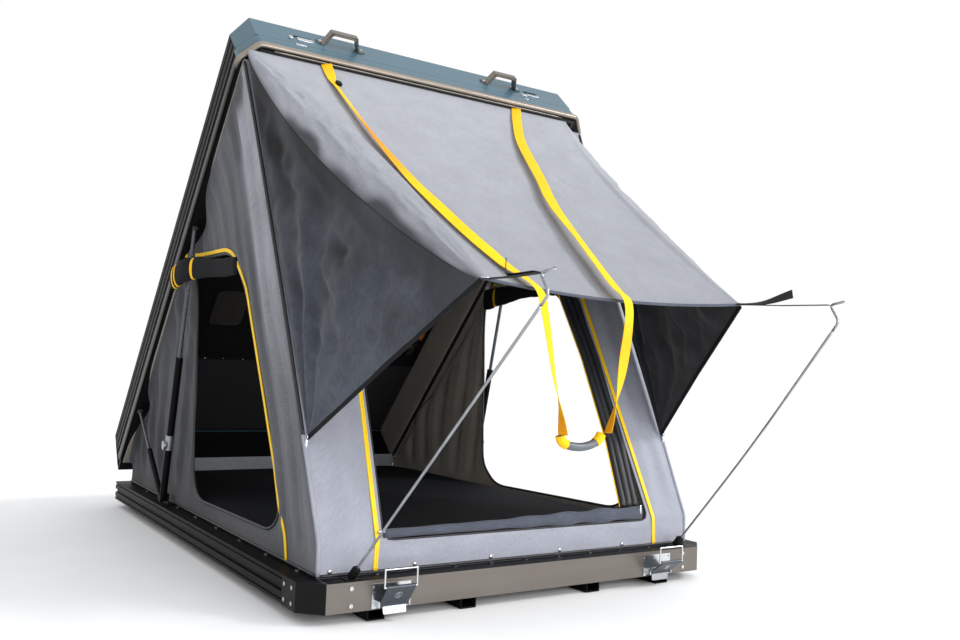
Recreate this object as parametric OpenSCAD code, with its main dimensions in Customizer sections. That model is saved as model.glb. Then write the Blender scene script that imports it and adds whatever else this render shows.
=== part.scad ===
// Hard shell roof top tent, shown open: a flat base, a wedge lid on a rear hinge, cloth walls, an awning.
// Millimetres, +Z up, X across, -Y towards the entrance, +Y towards the hinge.

/* [Base] */
// Outer width of the base and of the lid
base_w = 1400; // [1200:1:1600]
// Outer length of the base
base_l = 2150; // [1900:1:2400]
// Height of the mounting rails under the base
mount_rail_h = 30; // [20:1:50]
// Width of each mounting rail
mount_rail_w = 50; // [40:1:80]
// Wall of the mounting rails
mount_rail_wall = 4; // [2:0.5:8]
// Distance of the outer mounting rails from the middle
outer_rail_x = 500; // [350:1:600]
// Distance of the inner mounting rails from the middle
inner_rail_x = 220; // [100:1:300]
// Distance between the mounting holes along the tent
mount_pitch_y = 800; // [500:1:1400]
// Radius of the mounting holes
mount_hole_r = 4.25; // [3:0.05:6]
// Height of the base frame
frame_h = 75; // [50:1:120]
// Width of a side rail, which is also the ledge outside the cloth
side_rail_w = 66; // [50:1:90]
// Depth of the front beam
front_beam_d = 75; // [60:1:110]
// Depth of the rear beam
rear_beam_d = 70; // [50:1:100]
// Set back of the rear beam for the hinge leaves
rear_beam_back = 5; // [4.2:0.1:12]
// Wall of the hollow frame sections
frame_wall = 3; // [2:0.5:10]
// Front corner cut across
corner_cut_x = 55; // [30:1:90]
// Front corner cut along the side
corner_cut_y = 57; // [30:1:90]
// Depth of the wide middle groove in the side rails
slot_d = 7; // [3:0.5:10]
// Height of the wide middle groove in the side rails
slot_h = 14; // [8:0.5:20]
// Height of the two narrow grooves in the side rails
line_h = 6; // [3:0.5:8]
// Depth of the two narrow grooves
line_d = 3.5; // [2:0.5:6]
// Length of the corner block's side plate
corner_plate_l = 92; // [60:1:140]
// Thickness of the corner block's side plate
corner_plate_t = 3; // [2:0.5:6]
// Thickness of the floor panel
floor_t = 12; // [6:1:25]
// Drop of the floor's top below the frame's top
floor_drop = 5; // [0:1:15]
// Width of a floor cross member
cross_w = 40; // [25:1:60]
// Distance between the floor cross members
cross_pitch = 500; // [300:1:700]
// Height of the inner upstand over the frame
upstand_h = 41; // [25:1:60]
// Thickness of the inner upstand
upstand_t = 4; // [2:0.5:8]
// Set in of the upstand from the inner edge of the ledge
upstand_in = 1; // [0.5:0.5:6]
// Distance of the front upstand from the front face
upstand_front = 66; // [50:1:74]
// Distance of the rear upstand from the rear face
upstand_rear = 30; // [20:1:60]

/* [Hinge] */
// Height of the closed lid's rim over the base frame
lid_gap = 45; // [35:1:60]
// Distance of the hinge axis from the rear face
hinge_inset = 8; // [7.5:0.1:20]
// Angle of the open lid
open_deg = 46; // [20:0.5:60]
// Outer radius of the knuckles
knuckle_r = 7; // [5.5:0.1:7.4]
// Radius of the hinge pins
hinge_pin_r = 4; // [2:0.1:5]
// Radial clearance of pins in their bores
pin_clear = 0.06; // [0.02:0.01:0.1]
// Width of one hinge
hinge_w = 120; // [80:1:200]
// Width of the lid's knuckle
lid_knuckle_w = 40; // [20:1:60]
// Gap between knuckles
knuckle_gap = 0.4; // [0.2:0.1:1]
// Thickness of the hinge leaves
leaf_t = 4; // [3:0.1:5]
// Height of the base leaf on the rear beam
base_leaf_h = 95; // [60:1:110]
// Height of the lid leaf on the rear panel
lid_leaf_h = 36; // [24:1:60]
// Distance between the hinges
hinge_pitch = 480; // [300:1:560]

/* [Lid] */
// Distance of the lid's front face from the hinge axis
lid_len = 2095; // [1900:1:2110]
// Height of the roof over the rim
roof_h = 185; // [120:1:260]
// Height at which the side face ends and the bevel starts
side_h = 162; // [100:1:220]
// Width of the bevel between the roof and the side face
bevel_w = 53; // [20:1:90]
// Front corner cut of the lid along its length
lid_cut_u = 64; // [30:1:100]
// Thickness of the roof skin
skin_t = 2; // [1.5:0.5:6]
// Height of the lower frame
ring_h = 72; // [50:1:90]
// Set in of the lower frame from the lid's outline
ring_in = 3; // [1:0.5:8]
// Wall of the lower frame
ring_wall = 7; // [6:0.5:15]
// Width of the lower frame's flange, out to its outer face
flange_w = 67; // [50:1:80]
// Thickness of that flange
flange_t = 5; // [3:0.5:8]
// Height of the lower lip of the frame
lip_h = 14; // [8:1:20]
// Height of the dark recess above the lip
recess_h = 17; // [8:1:25]
// Depth of that recess
recess_d = 4; // [2:0.5:6]
// Depth of the lid's side rails
lid_rail_d = 28; // [15:1:40]
// Wall of the lid's side rails
lid_rail_wall = 3; // [2:0.5:6]
// Depth of the grooves in the lid's side rails
lid_groove_d = 3; // [1:0.5:3.5]
// Height of those grooves
lid_groove_h = 9; // [4:0.5:14]
// Thickness of the front panel
front_t = 4; // [2:0.5:8]
// Thickness of the rear panel
rear_t = 5; // [4:0.5:12]
// Slope of the rear panel's upper part, along the lid
rear_slope = 37; // [0:1:80]
// Thickness of the inner lining
lining_t = 3; // [2:0.5:8]
// Width of the seal
seal_w = 12; // [8:1:16]
// Height of the seal
seal_h = 3.7; // [2:0.1:6]
// Distance of the latch slots' middle from the outer side
slot_in = 225; // [140:1:330]
// Width of a latch slot
latch_slot_w = 62; // [40:1:90]
// Height of a latch slot
latch_slot_h = 15; // [8:0.5:25]
// Height of the latch slots over the rim
latch_slot_z = 125; // [100:1:145]
// Distance of the handles from the middle
handle_x = 335; // [200:1:400]
// Distance between the feet of a handle
handle_span = 150; // [100:1:220]
// Length of a handle's foot
handle_foot = 26; // [16:1:40]
// Stand off of a handle's bar
handle_out = 45; // [30:1:70]
// Length of a handle's bar
handle_bar = 92; // [60:1:150]
// Width of the handle strip
handle_w = 25; // [12:1:40]
// Thickness of the handle strip
handle_t = 4; // [2:0.5:8]
// Height of the handles over the rim
handle_z = 127; // [100:1:150]

/* [Struts] */
// Distance of the struts' middle line from the outer side
strut_in = 16; // [14:1:24]
// Base pivot of the long strut along the tent
long_by = 345; // [250:1:450]
// Height of the long strut's base pivot over the ledge
long_bz = 23; // [18:0.5:28]
// Lid pivot of the long strut, from the hinge
long_u = 1360; // [1200:1:1450]
// Base pivot of the short strut, behind the long strut's one
short_gap = 30; // [26:1:60]
// Height of the short strut's base pivot over the ledge
short_bz = 29; // [18:0.5:30]
// Lid pivot of the short strut, from the hinge
short_u = 400; // [360:1:460]
// Drop of the lid pivots under the rim
pivot_drop = 14; // [12:0.5:20]
// Outer radius of the long strut's tube
tube_r = 13; // [10:0.5:13]
// Length of the long strut's tube
tube_l = 540; // [480:1:560]
// Radius of the long strut's rod
rod_r = 7; // [5:0.1:7]
// Length of the rod that stays inside the open tube
rod_hold = 45; // [20:1:60]
// Outer radius of the short strut's cylinder
short_r = 10; // [8:0.5:10]
// Length of the short strut's cylinder
short_l = 258; // [200:1:262]
// Radius of the short strut's rod
short_rod_r = 5; // [3:0.1:7]
// Length of the short rod that stays inside the open cylinder
short_hold = 22; // [12:1:30]
// Width of the rod ends
eye_w = 14; // [8:0.5:14]
// Radius of the rod ends
eye_r = 9; // [8:0.5:10]
// Radius of the strut pins
strut_pin_r = 4; // [2.5:0.1:5]
// Gap between faces that pass each other
face_gap = 0.3; // [0.2:0.05:1]
// Thickness of the strut brackets
bracket_t = 4; // [3:0.5:4]
// Height of the collar's lower edge along the strut
collar_at = 190; // [150:1:260]
// Length of the collar
collar_l = 55; // [30:1:80]
// Thickness of the collar
collar_t = 2; // [1:0.5:3]
// Radius of the knob
knob_r = 17; // [10:0.5:20]
// Thickness of the knob
knob_t = 9; // [5:0.5:16]

/* [Latches] */
// Distance of the latches' middle from the outer side
latch_in = 235; // [200:1:330]
// Width of the latch plate
latch_w = 112; // [80:1:140]
// Height of the latch plate
latch_h = 62; // [45:1:68]
// Thickness of the latch plate
latch_t = 3; // [2:0.5:5]
// Height of the lever's pivot over the frame's underside
lever_z = 16; // [12:0.5:30]
// Distance of the lever's pivot in front of the frame
lever_out = 14; // [11:0.5:20]
// Length from the lever's pivot to the bail's pivot
lever_l = 62; // [45:1:80]
// Half width of the lever
lever_half = 41; // [30:0.5:45]
// Thickness of the lever
lever_t = 3; // [2:0.5:4]
// Radius of the lever's barrels
barrel_r = 6; // [5:0.1:7]
// Radius of the lever's pin
lever_pin_r = 3; // [2:0.1:4]
// Length of the lower lip of the lever
lip_l = 26; // [15:1:35]
// Lean of the left lever from upright
lean_left = 38; // [5:1:80]
// Lean of the right lever from upright
lean_right = 54; // [5:1:80]
// Radius of the bail's wire
bail_r = 2.5; // [1.5:0.1:3]
// Half width of the bail
bail_half = 46; // [35:0.5:48]
// Height of the bail
bail_h = 45; // [30:1:70]

/* [Awning rods] */
// Distance of an awning rod's foot from the outer side
foot_in = 130; // [100:1:250]
// Distance of the rod's foot from the front face
foot_y = 30; // [15:1:40]
// Distance of an awning rod's bend from the outer side
bend_in = 228; // [140:1:350]
// Distance of the rod's bend in front of the base
bend_y = 635; // [400:1:750]
// Height of the rod's bend over the frame
bend_z = 700; // [500:1:850]
// Radius of the rods
awning_rod_r = 3.5; // [2.5:0.1:5]
// Radial clearance of a rod in its socket
rod_clear = 0.08; // [0.02:0.01:0.1]
// Half width of the sockets
socket_r = 8; // [6:0.5:12]
// Length of the sockets
socket_l = 46; // [30:1:70]
// Rise of the elbow over the bend
elbow_z = 45; // [20:1:80]
// Return of the elbow behind the bend
elbow_y = 29; // [0:1:60]
// Length of the hook
hook_l = 44; // [20:1:80]

/* [Cloth] */
// Thickness of the walls
cloth_t = 3; // [1:0.5:5]
// Gap between the cloth's lower hem and the upstand
hem_gap = 2.5; // [0.3:0.1:4]
// Depth of the wall folds
fold_d = 5; // [0:0.5:6]
// Pitch of the wall folds
fold_pitch = 190; // [80:1:300]
// Height of the sill under the side doors
door_sill = 70; // [40:1:150]
// Height of the side doors' upper edge over the frame
door_top = 905; // [500:1:980]
// Half width of the entrance at the sill
entry_half = 455; // [300:1:520]
// Height of the entrance's sill over the frame
entry_sill = 85; // [40:1:200]
// Half width of the awning at the lid
awning_half = 610; // [500:1:615]
// Half width of the awning's front edge
awning_front = 441; // [350:1:560]
// Distance of the awning's front edge in front of the base
awning_out = 337; // [150:1:500]
// Height of the awning's front corners over the frame
awning_z = 755; // [500:1:950]
// Sag of the awning's front edge
awning_sag = 22; // [0:1:60]
// Thickness of the awning and its wings
awning_t = 2; // [1:0.5:4]
// Height of the wing's lower tip over the frame
wing_tip_z = 347; // [200:1:500]
// Thickness of the mattress
mattress_h = 60; // [30:1:90]
// Length of a rolled side door
roll_l = 520; // [400:1:530]
// Half height of a rolled side door
roll_h = 42; // [20:1:45]
// Gap between a rolled side door and the top of its opening
roll_gap = 7; // [2:1:20]
// Half thickness of a rolled side door
roll_d = 11; // [6:0.5:13]
// Width of the pull strap
strap_w = 45; // [25:1:60]
// Thickness of the straps
strap_t = 2; // [1:0.5:4]
// Radius of the pull strap's tube handle
tube_handle_r = 14; // [8:0.5:20]
// Width of the corner straps
corner_strap_w = 25; // [15:1:40]

/* [Fasteners] */
// Radius of the bolt heads
bolt_r = 5.5; // [3:0.5:8]
// Height of the bolt heads
bolt_h = 3; // [1.5:0.5:5]
// Radius of the press studs
stud_r = 6; // [3:0.5:9]
// Height of the press studs
stud_h = 2.5; // [1:0.5:5]
// Distance between press studs along the sides
stud_pitch = 230; // [120:10:300]
// Spacing of the press studs along the front
stud_step = 120; // [80:1:200]
// Least distance of the side studs from the ends of the base
stud_end = 175; // [100:1:300]
// Distance of the nearest side stud in front of the long strut's bracket
stud_off = 95; // [60:1:170]
// Distance of the beam's bolts from the corner blocks
beam_bolt_in = 67; // [40:1:90]

/* [Hidden] */
$fn = 32;
half_w = base_w/2;
strut_x = half_w - strut_in;
latch_x = half_w - latch_in;
slot_x = half_w - slot_in;
foot_x = half_w - foot_in;
bend_x = half_w - bend_in;
front_y = -base_l/2;
rear_y = base_l/2;
z0 = mount_rail_h;
z1 = z0 + frame_h;
rail_in = half_w - side_rail_w;
block_y = front_y + corner_cut_y;
block_x = half_w - corner_cut_x;
beam_back = front_y + front_beam_d;
rear_face = rear_y - rear_beam_back;
rear_in = rear_face - rear_beam_d;
floor_z = z1 - floor_drop;
up_x = rail_in + upstand_in;
up_front = front_y + upstand_front;
up_rear = rear_y - upstand_rear;
hinge_y = rear_y - hinge_inset;
hinge_z = z1 + lid_gap;
rear_u = knuckle_r + 1;
roof_x = half_w - bevel_w;
ring_x = half_w - ring_in;
flange_x = ring_x - flange_w;
co = cos(open_deg);
so = sin(open_deg);
// Plate planes of the strut brackets
base_plate_x = strut_x - tube_r - face_gap;
lid_plate_x = strut_x - eye_w/2 - face_gap;
short_by = long_by + short_gap;
stud_y = long_by - stud_off;
stud_first = ceil((front_y + stud_end - stud_y)/stud_pitch);
stud_last = floor((rear_y - stud_end - stud_y)/stud_pitch);

function lid_y(u, w) = hinge_y - u*co + w*so;
function lid_z(u, w) = hinge_z + u*so + w*co;
function open_len(by, bz, u) = norm([lid_y(u, -pivot_drop) - by, lid_z(u, -pivot_drop) - z1 - bz]);
function open_ang(by, bz, u) = atan2(lid_z(u, -pivot_drop) - z1 - bz, lid_y(u, -pivot_drop) - by);
long_open = open_len(long_by, long_bz, long_u);
short_open = open_len(short_by, short_bz, short_u);
long_ang = open_ang(long_by, long_bz, long_u);
short_ang = open_ang(short_by, short_bz, short_u);
long_closed = norm([hinge_y - long_u - long_by, lid_gap - pivot_drop - long_bz]);
short_closed = norm([hinge_y - short_u - short_by, lid_gap - pivot_drop - short_bz]);

// Cut of the lid's plan outline, set in by i
cut_l = norm([bevel_w, lid_cut_u]);
function cut_u(i) = lid_len - lid_cut_u - i*(cut_l - lid_cut_u)/bevel_w;
function cut_x(i) = roof_x - i*(cut_l - bevel_w)/lid_cut_u;
flange_u = cut_u(ring_in);
function half_plan(i) = [[half_w - i, -cut_u(i)], [cut_x(i), -(lid_len - i)]];
function strip(i, j) = let (a = half_plan(i), b = half_plan(j))
    [a[0], a[1], [-a[1][0], a[1][1]], [-a[0][0], a[0][1]], [-b[0][0], b[0][1]], [-b[1][0], b[1][1]],
        b[1], b[0]];
function mirror_x(s, p) = [for (q = p) [s*q[0], q[1]]];
function groove(x, z, d, h) = [[x, z], [x - d, z], [x - d, z + h], [x, z + h]];

module along_y(a, b) {
    translate([0, b, 0]) rotate([90, 0, 0]) linear_extrude(height = b - a) children();
}
module along_x(a, b) {
    translate([a, 0, 0]) rotate([90, 0, 90]) linear_extrude(height = b - a) children();
}
module rod_x(a, b, r) {
    translate([a, 0, 0]) rotate([0, 90, 0]) cylinder(r = r, h = b - a);
}
module box(a, b) {
    translate([min(a[0], b[0]), min(a[1], b[1]), min(a[2], b[2])])
        cube([abs(b[0] - a[0]), abs(b[1] - a[1]), abs(b[2] - a[2])]);
}
module at_lid() {
    translate([0, hinge_y, hinge_z]) rotate([-open_deg, 0, 0]) children();
}
module seg(a, b, r) {
    d = b - a;
    translate(a) rotate([0, acos(d[2]/norm(d)), atan2(d[1], d[0])]) cylinder(r = r, h = norm(d));
}

// Base

module mounting_rail(x, holes) {
    difference() {
        box([x - mount_rail_w/2, front_y + 12, 0], [x + mount_rail_w/2, rear_y - 12, z0]);
        box([x - mount_rail_w/2 + mount_rail_wall, front_y, mount_rail_wall],
            [x + mount_rail_w/2 - mount_rail_wall, rear_y, z0 - mount_rail_wall]);
        for (y = holes)
            translate([x, y, -1]) cylinder(r = mount_hole_r, h = mount_rail_wall + 2);
    }
}
module mounting_rails() {
    for (s = [-1, 1]) {
        color("#1b1b1d") mounting_rail(s*outer_rail_x, [-mount_pitch_y/2, mount_pitch_y/2]);
        color("#1b1b1d") mounting_rail(s*inner_rail_x, []);
    }
}
module cross_members() {
    for (y = [-cross_pitch, 0, cross_pitch])
        color("#8d9094") difference() {
            box([-rail_in, y - cross_w/2, z0], [rail_in, y + cross_w/2, floor_z - floor_t]);
            box([-rail_in - 1, y - cross_w/2 + frame_wall, z0 + frame_wall],
                [rail_in + 1, y + cross_w/2 - frame_wall, floor_z - floor_t - frame_wall]);
        }
}
module floor_panel() {
    color("#6d6257") box([-rail_in, beam_back, floor_z - floor_t], [rail_in, rear_in, floor_z]);
}
module front_beam() {
    color("#8a8178") difference() {
        translate([0, 0, z0]) linear_extrude(height = frame_h)
            polygon([[-block_x, front_y], [block_x, front_y], [block_x, block_y], [rail_in, block_y],
                [rail_in, beam_back], [-rail_in, beam_back], [-rail_in, block_y], [-block_x, block_y]]);
        box([-rail_in + frame_wall, front_y + frame_wall, z0 + frame_wall],
            [rail_in - frame_wall, beam_back - frame_wall, z1 - frame_wall]);
    }
}
module rear_beam() {
    color("#1d1d1f") difference() {
        box([-rail_in, rear_in, z0], [rail_in, rear_face, z1]);
        box([-rail_in + frame_wall, rear_in + frame_wall, z0 + frame_wall],
            [rail_in - frame_wall, rear_face - frame_wall, z1 - frame_wall]);
    }
}
module side_rail(s) {
    mid = z0 + frame_h/2;
    difference() {
        along_y(block_y, rear_y) polygon(mirror_x(s, concat([[rail_in, z0], [half_w, z0]],
            groove(half_w, z0 + line_h + 2, line_d, line_h), groove(half_w, mid - slot_h/2, slot_d,
                slot_h),
            groove(half_w, z1 - 2*line_h - 2, line_d, line_h), [[half_w, z1], [rail_in, z1]])));
        box([s*(rail_in + frame_wall), block_y - 1, z0 + frame_wall],
            [s*(half_w - slot_d - frame_wall), rear_y + 1, z1 - frame_wall]);
    }
}
module side_rail_left() {
    color("#161618") side_rail(-1);
}
module side_rail_right() {
    color("#161618") side_rail(1);
}
module corner_block(s) {
    x = half_w + corner_plate_t;
    translate([0, 0, z0]) linear_extrude(height = frame_h)
        polygon([[s*half_w, block_y], [s*half_w, block_y + corner_plate_l],
            [s*x, block_y + corner_plate_l],
            [s*x, block_y], [s*block_x, front_y], [s*block_x, block_y]]);
}
module corner_blocks() {
    color("#19191b") corner_block(-1);
    color("#19191b") corner_block(1);
}
module upstand() {
    color("#a9adb2") translate([0, 0, z1]) difference() {
        linear_extrude(height = upstand_h)
            polygon([[-up_x - upstand_t, up_front], [up_x + upstand_t, up_front],
                [up_x + upstand_t, up_rear + upstand_t], [-up_x - upstand_t, up_rear + upstand_t]]);
        translate([0, 0, -1]) linear_extrude(height = upstand_h + 2)
            polygon([[-up_x, up_front + upstand_t], [up_x, up_front + upstand_t], [up_x, up_rear],
                [-up_x, up_rear]]);
    }
}
module frame_bolts() {
    color("#c9ccd0") for (s = [-1, 1]) {
        for (y = [20, corner_plate_l - 22])
            for (z = [z0 + 18, z1 - 18])
                translate([s > 0 ? half_w + corner_plate_t : -half_w - corner_plate_t - bolt_h,
                    block_y + y, z])
                    rod_x(0, bolt_h, bolt_r);
        for (z = [z0 + 16, z1 - 16])
            translate([s*(block_x - beam_bolt_in), front_y, z]) rotate([90, 0, 0]) cylinder(r = bolt_r, h = bolt_h);
    }
}
module press_studs() {
    color("#b9bcc0") translate([0, 0, z1]) {
        for (i = [-floor((up_x - 150)/stud_step):floor((up_x - 150)/stud_step)])
            translate([i*stud_step, up_front - 2*stud_r, 0]) cylinder(r = stud_r, h = stud_h);
        for (s = [-1, 1])
            for (i = [stud_first:stud_last])
                translate([s*(up_x + upstand_t + 13), stud_y + i*stud_pitch, 0])
                    cylinder(r = stud_r, h = stud_h);
    }
}

// Hinge

module base_leaf() {
    k = lid_knuckle_w/2 + knuckle_gap/2;
    difference() {
        union() {
            box([-hinge_w/2, rear_face, z1 - 60], [hinge_w/2, rear_face + leaf_t, z1 - 60 + base_leaf_h]);
            for (s = [-1, 1]) {
                box([s*k, rear_face, z1 - 61 + base_leaf_h], [s*hinge_w/2, rear_face + leaf_t, hinge_z]);
                translate([0, hinge_y, hinge_z]) rod_x(s > 0 ? k : -hinge_w/2, s > 0 ? hinge_w/2 : -k,
                    knuckle_r);
            }
        }
        translate([0, hinge_y, hinge_z]) rod_x(-hinge_w, hinge_w, hinge_pin_r + pin_clear);
    }
}
module hinge_base_leaves() {
    for (x = [-hinge_pitch, 0, hinge_pitch])
        color("#2a2a2c") translate([x, 0, 0]) base_leaf();
}
module hinge_pins() {
    for (x = [-hinge_pitch, 0, hinge_pitch])
        color("#c4c7ca") translate([x, hinge_y, hinge_z]) {
            rod_x(-hinge_w/2 - 1, hinge_w/2 + 1, hinge_pin_r);
            rod_x(hinge_w/2 + face_gap, hinge_w/2 + 3, hinge_pin_r + 2);
            rod_x(-hinge_w/2 - 3, -hinge_w/2 - face_gap, hinge_pin_r + 2);
        }
}
module lid_leaf() {
    k = lid_knuckle_w/2 - knuckle_gap/2;
    difference() {
        union() {
            box([-hinge_w/2, -rear_u, 10], [hinge_w/2, -rear_u + leaf_t, lid_leaf_h]);
            box([-k, -rear_u, 0], [k, -rear_u + leaf_t, 11]);
            rod_x(-k, k, knuckle_r);
        }
        rod_x(-hinge_w, hinge_w, hinge_pin_r + pin_clear);
    }
}
module hinge_lid_leaves() {
    for (x = [-hinge_pitch, 0, hinge_pitch])
        color("#2a2a2c") at_lid() translate([x, 0, 0]) lid_leaf();
}

// Lid

module roof_under(x, drop) {
    polygon([[-x, 0], [x, 0], [x, side_h - drop], [roof_x, roof_h - drop], [-roof_x, roof_h - drop],
        [-x, side_h - drop]]);
}
module lid_roof() {
    color("#4f7480") at_lid() intersection() {
        along_y(-lid_len, -rear_u - rear_slope)
            polygon([[-half_w, side_h - skin_t], [-half_w, side_h], [-roof_x, roof_h], [roof_x, roof_h],
                [half_w, side_h], [half_w, side_h - skin_t], [roof_x, roof_h - skin_t],
                [-roof_x, roof_h - skin_t]]);
        linear_extrude(height = roof_h + 10)
            polygon(concat([[-half_w, 0], [half_w, 0]], half_plan(0),
                [for (q = [1, 0]) [-half_plan(0)[q][0],
                half_plan(0)[q][1]]]));
    }
}
module lid_front_panel() {
    color("#4f7480") at_lid() difference() {
        intersection() {
            translate([0, 0, ring_h]) linear_extrude(height = roof_h) polygon(strip(0, front_t));
            along_y(-lid_len - 5, -lid_len + 2*lid_cut_u) roof_under(half_w, skin_t);
        }
        for (s = [-1, 1])
            translate([s*slot_x - latch_slot_w/2, -lid_len - 5, latch_slot_z - latch_slot_h/2])
                cube([latch_slot_w, 20, latch_slot_h]);
    }
}
module lid_rear_panel() {
    color("#1b1c1e") at_lid() {
        intersection() {
            along_x(-ring_x, ring_x)
                polygon([[-rear_u, 0], [-rear_u, lid_leaf_h + 4], [-rear_u - rear_slope, roof_h],
                    [-rear_u - rear_slope - rear_t, roof_h], [-rear_u - rear_t, lid_leaf_h + 4],
                        [-rear_u - rear_t, 0]]);
            along_y(-200, 0) roof_under(ring_x, skin_t + 1);
        }
        box([-flange_x, -rear_u - rear_t - 50, 0], [flange_x, -rear_u - rear_t, flange_t]);
    }
}
module lid_side_rail(s) {
    h = side_h - skin_t - ring_h;
    difference() {
        along_y(-cut_u(front_t) + face_gap, -rear_u - rear_slope - rear_t)
            polygon(mirror_x(s, concat([[half_w - lid_rail_d, ring_h], [half_w, ring_h]],
                groove(half_w, ring_h + h*0.2, lid_groove_d, lid_groove_h),
                groove(half_w, ring_h + h*0.62, lid_groove_d, lid_groove_h),
                [[half_w, side_h - skin_t], [half_w - lid_rail_d, side_h - skin_t]])));
        box([s*(half_w - lid_rail_d + lid_rail_wall), -lid_len, ring_h + lid_rail_wall],
            [s*(half_w - lid_groove_d - lid_rail_wall), 0, side_h - skin_t - lid_rail_wall]);
    }
}
module lid_side_rail_left() {
    color("#141416") at_lid() lid_side_rail(-1);
}
module lid_side_rail_right() {
    color("#141416") at_lid() lid_side_rail(1);
}
module lid_frame_front() {
    a = half_plan(ring_in);
    c = half_plan(ring_in + recess_d);
    color("#6f6a66") at_lid() difference() {
        union() {
            linear_extrude(height = flange_t) polygon([[-a[0][0], a[0][1]], [-a[1][0], a[1][1]], a[1],
                a[0]]);
            linear_extrude(height = ring_h) polygon(strip(ring_in, ring_in + ring_wall));
        }
        translate([0, 0, lip_h]) linear_extrude(height = recess_h) difference() {
            polygon([[-half_w - 50, -lid_len - 50], [half_w + 50, -lid_len - 50],
                [half_w + 50, -lid_len + 200],
                [-half_w - 50, -lid_len + 200]]);
            polygon([[-c[0][0], -lid_len + 250], [-c[0][0], c[0][1]], [-c[1][0], c[1][1]], c[1], c[0],
                [c[0][0], -lid_len + 250]]);
        }
    }
}
module lid_frame_side(s) {
    rear = -rear_u - rear_t - face_gap;
    difference() {
        along_y(-cut_u(ring_in + ring_wall) + face_gap, rear)
            polygon(mirror_x(s, [[flange_x, 0], [ring_x, 0], [ring_x, lip_h], [ring_x - recess_d, lip_h],
                [ring_x - recess_d, lip_h + recess_h], [ring_x, lip_h + recess_h], [ring_x, ring_h],
                [ring_x - ring_wall, ring_h], [ring_x - ring_wall, flange_t], [flange_x, flange_t]]));
        along_x(-half_w, half_w)
            polygon([[rear, lid_leaf_h + 4], [rear - rear_slope, roof_h], [10, roof_h],
                [10, lid_leaf_h + 4]]);
    }
}
module lid_frame_left() {
    color("#2e2f31") at_lid() lid_frame_side(-1);
}
module lid_frame_right() {
    color("#2e2f31") at_lid() lid_frame_side(1);
}
module lid_seal() {
    x = up_x + upstand_t/2;
    f = hinge_y - up_front - upstand_t/2;
    r = hinge_y - up_rear - upstand_t/2;
    color("#161616") at_lid() translate([0, 0, -seal_h]) difference() {
        linear_extrude(height = seal_h)
            polygon([[-x - seal_w/2, -f - seal_w/2], [x + seal_w/2, -f - seal_w/2],
                [x + seal_w/2, -r + seal_w/2],
                [-x - seal_w/2, -r + seal_w/2]]);
        translate([0, 0, -1]) linear_extrude(height = seal_h + 2)
            polygon([[-x + seal_w/2, -f + seal_w/2], [x - seal_w/2, -f + seal_w/2],
                [x - seal_w/2, -r - seal_w/2],
                [-x + seal_w/2, -r - seal_w/2]]);
    }
}
module lid_lining() {
    color("#33353a") at_lid()
        box([-roof_x + 8, -lid_len + 40, roof_h - skin_t - lining_t],
            [roof_x - 8, -rear_u - rear_slope - 30, roof_h - skin_t]);
}
module handle(s) {
    f = handle_span/2;
    b = handle_bar/2;
    k = handle_foot/2;
    t = handle_t;
    outer = [[f + k, 0], [f + k, -t], [f - k + t, -t], [b + t/2, -handle_out - t], [0, -handle_out - t]];
    inner = [[0, -handle_out], [b - t/2, -handle_out], [f - k, 0]];
    right = concat(inner, outer);
    left = [for (i = [len(right) - 1:-1:0]) [-right[i][0], right[i][1]]];
    translate([s*handle_x, -lid_len, handle_z - handle_w/2]) linear_extrude(height = handle_w) {
        polygon(right);
        polygon(left);
    }
}
module handle_left() {
    color("#55534f") at_lid() handle(-1);
}
module handle_right() {
    color("#55534f") at_lid() handle(1);
}
module lid_bolts() {
    for (s = [-1, 1])
        color("#c9ccd0") at_lid() {
            for (x = [-handle_span/2, handle_span/2])
                translate([s*handle_x + x + (x > 0 ? 2 : -2), -lid_len - handle_t,
                    handle_z]) rotate([90, 0, 0])
                    cylinder(r = bolt_r, h = bolt_h);
            for (u = [long_u - 25, long_u + 25, short_u - 22, short_u + 22])
                translate([s > 0 ? ring_x - recess_d : -ring_x + recess_d - bolt_h, -u,
                    lip_h + recess_h/2])
                    rod_x(0, bolt_h, bolt_r);
        }
}

// Struts

module lid_bracket(s, u) {
    box([s*(lid_plate_x - 22), -u - 28, -bracket_t], [s*lid_plate_x, -u + 28, 0]);
    box([s*(lid_plate_x - bracket_t), -u - 15, -pivot_drop - 11],
        [s*lid_plate_x, -u + 15, -bracket_t + 0.5]);
    translate([s > 0 ? lid_plate_x - bracket_t - 5 : -lid_plate_x + bracket_t - 1, -u,
        -pivot_drop]) rod_x(0, 6, 8);
}
module strut_lid_brackets() {
    for (s = [-1, 1])
        for (u = [long_u, short_u])
            color("#222326") at_lid() lid_bracket(s, u);
}
module base_bracket(s) {
    p = base_plate_x;
    y0 = long_by - 22;
    y1 = short_by + 20;
    box([s*(p - 22), y0, z1], [s*p, y1, z1 + bracket_t]);
    box([s*(p - bracket_t), y0, z1 + bracket_t - 0.5], [s*p, y1, z1 + lid_gap - bracket_t]);
    translate([s > 0 ? p - 1 : -p - 2*tube_r - face_gap + 1, long_by, z1 + long_bz])
        rod_x(0, 2*tube_r + face_gap, strut_pin_r);
    translate([s > 0 ? p - 1 : -p - 2*tube_r + 2, short_by, z1 + short_bz]) rod_x(0, 2*tube_r - 1,
        strut_pin_r);
    translate([s > 0 ? p - 1 : -strut_x + short_r + face_gap, short_by, z1 + short_bz])
        rod_x(0, strut_x - short_r - face_gap - p + 1, strut_pin_r + 3);
}
module strut_base_brackets() {
    color("#222326") base_bracket(-1);
    color("#222326") base_bracket(1);
}
module at_strut(s, by, bz, a) {
    translate([s*strut_x, by, z1 + bz]) rotate([a - 90, 0, 0]) children();
}
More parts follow.
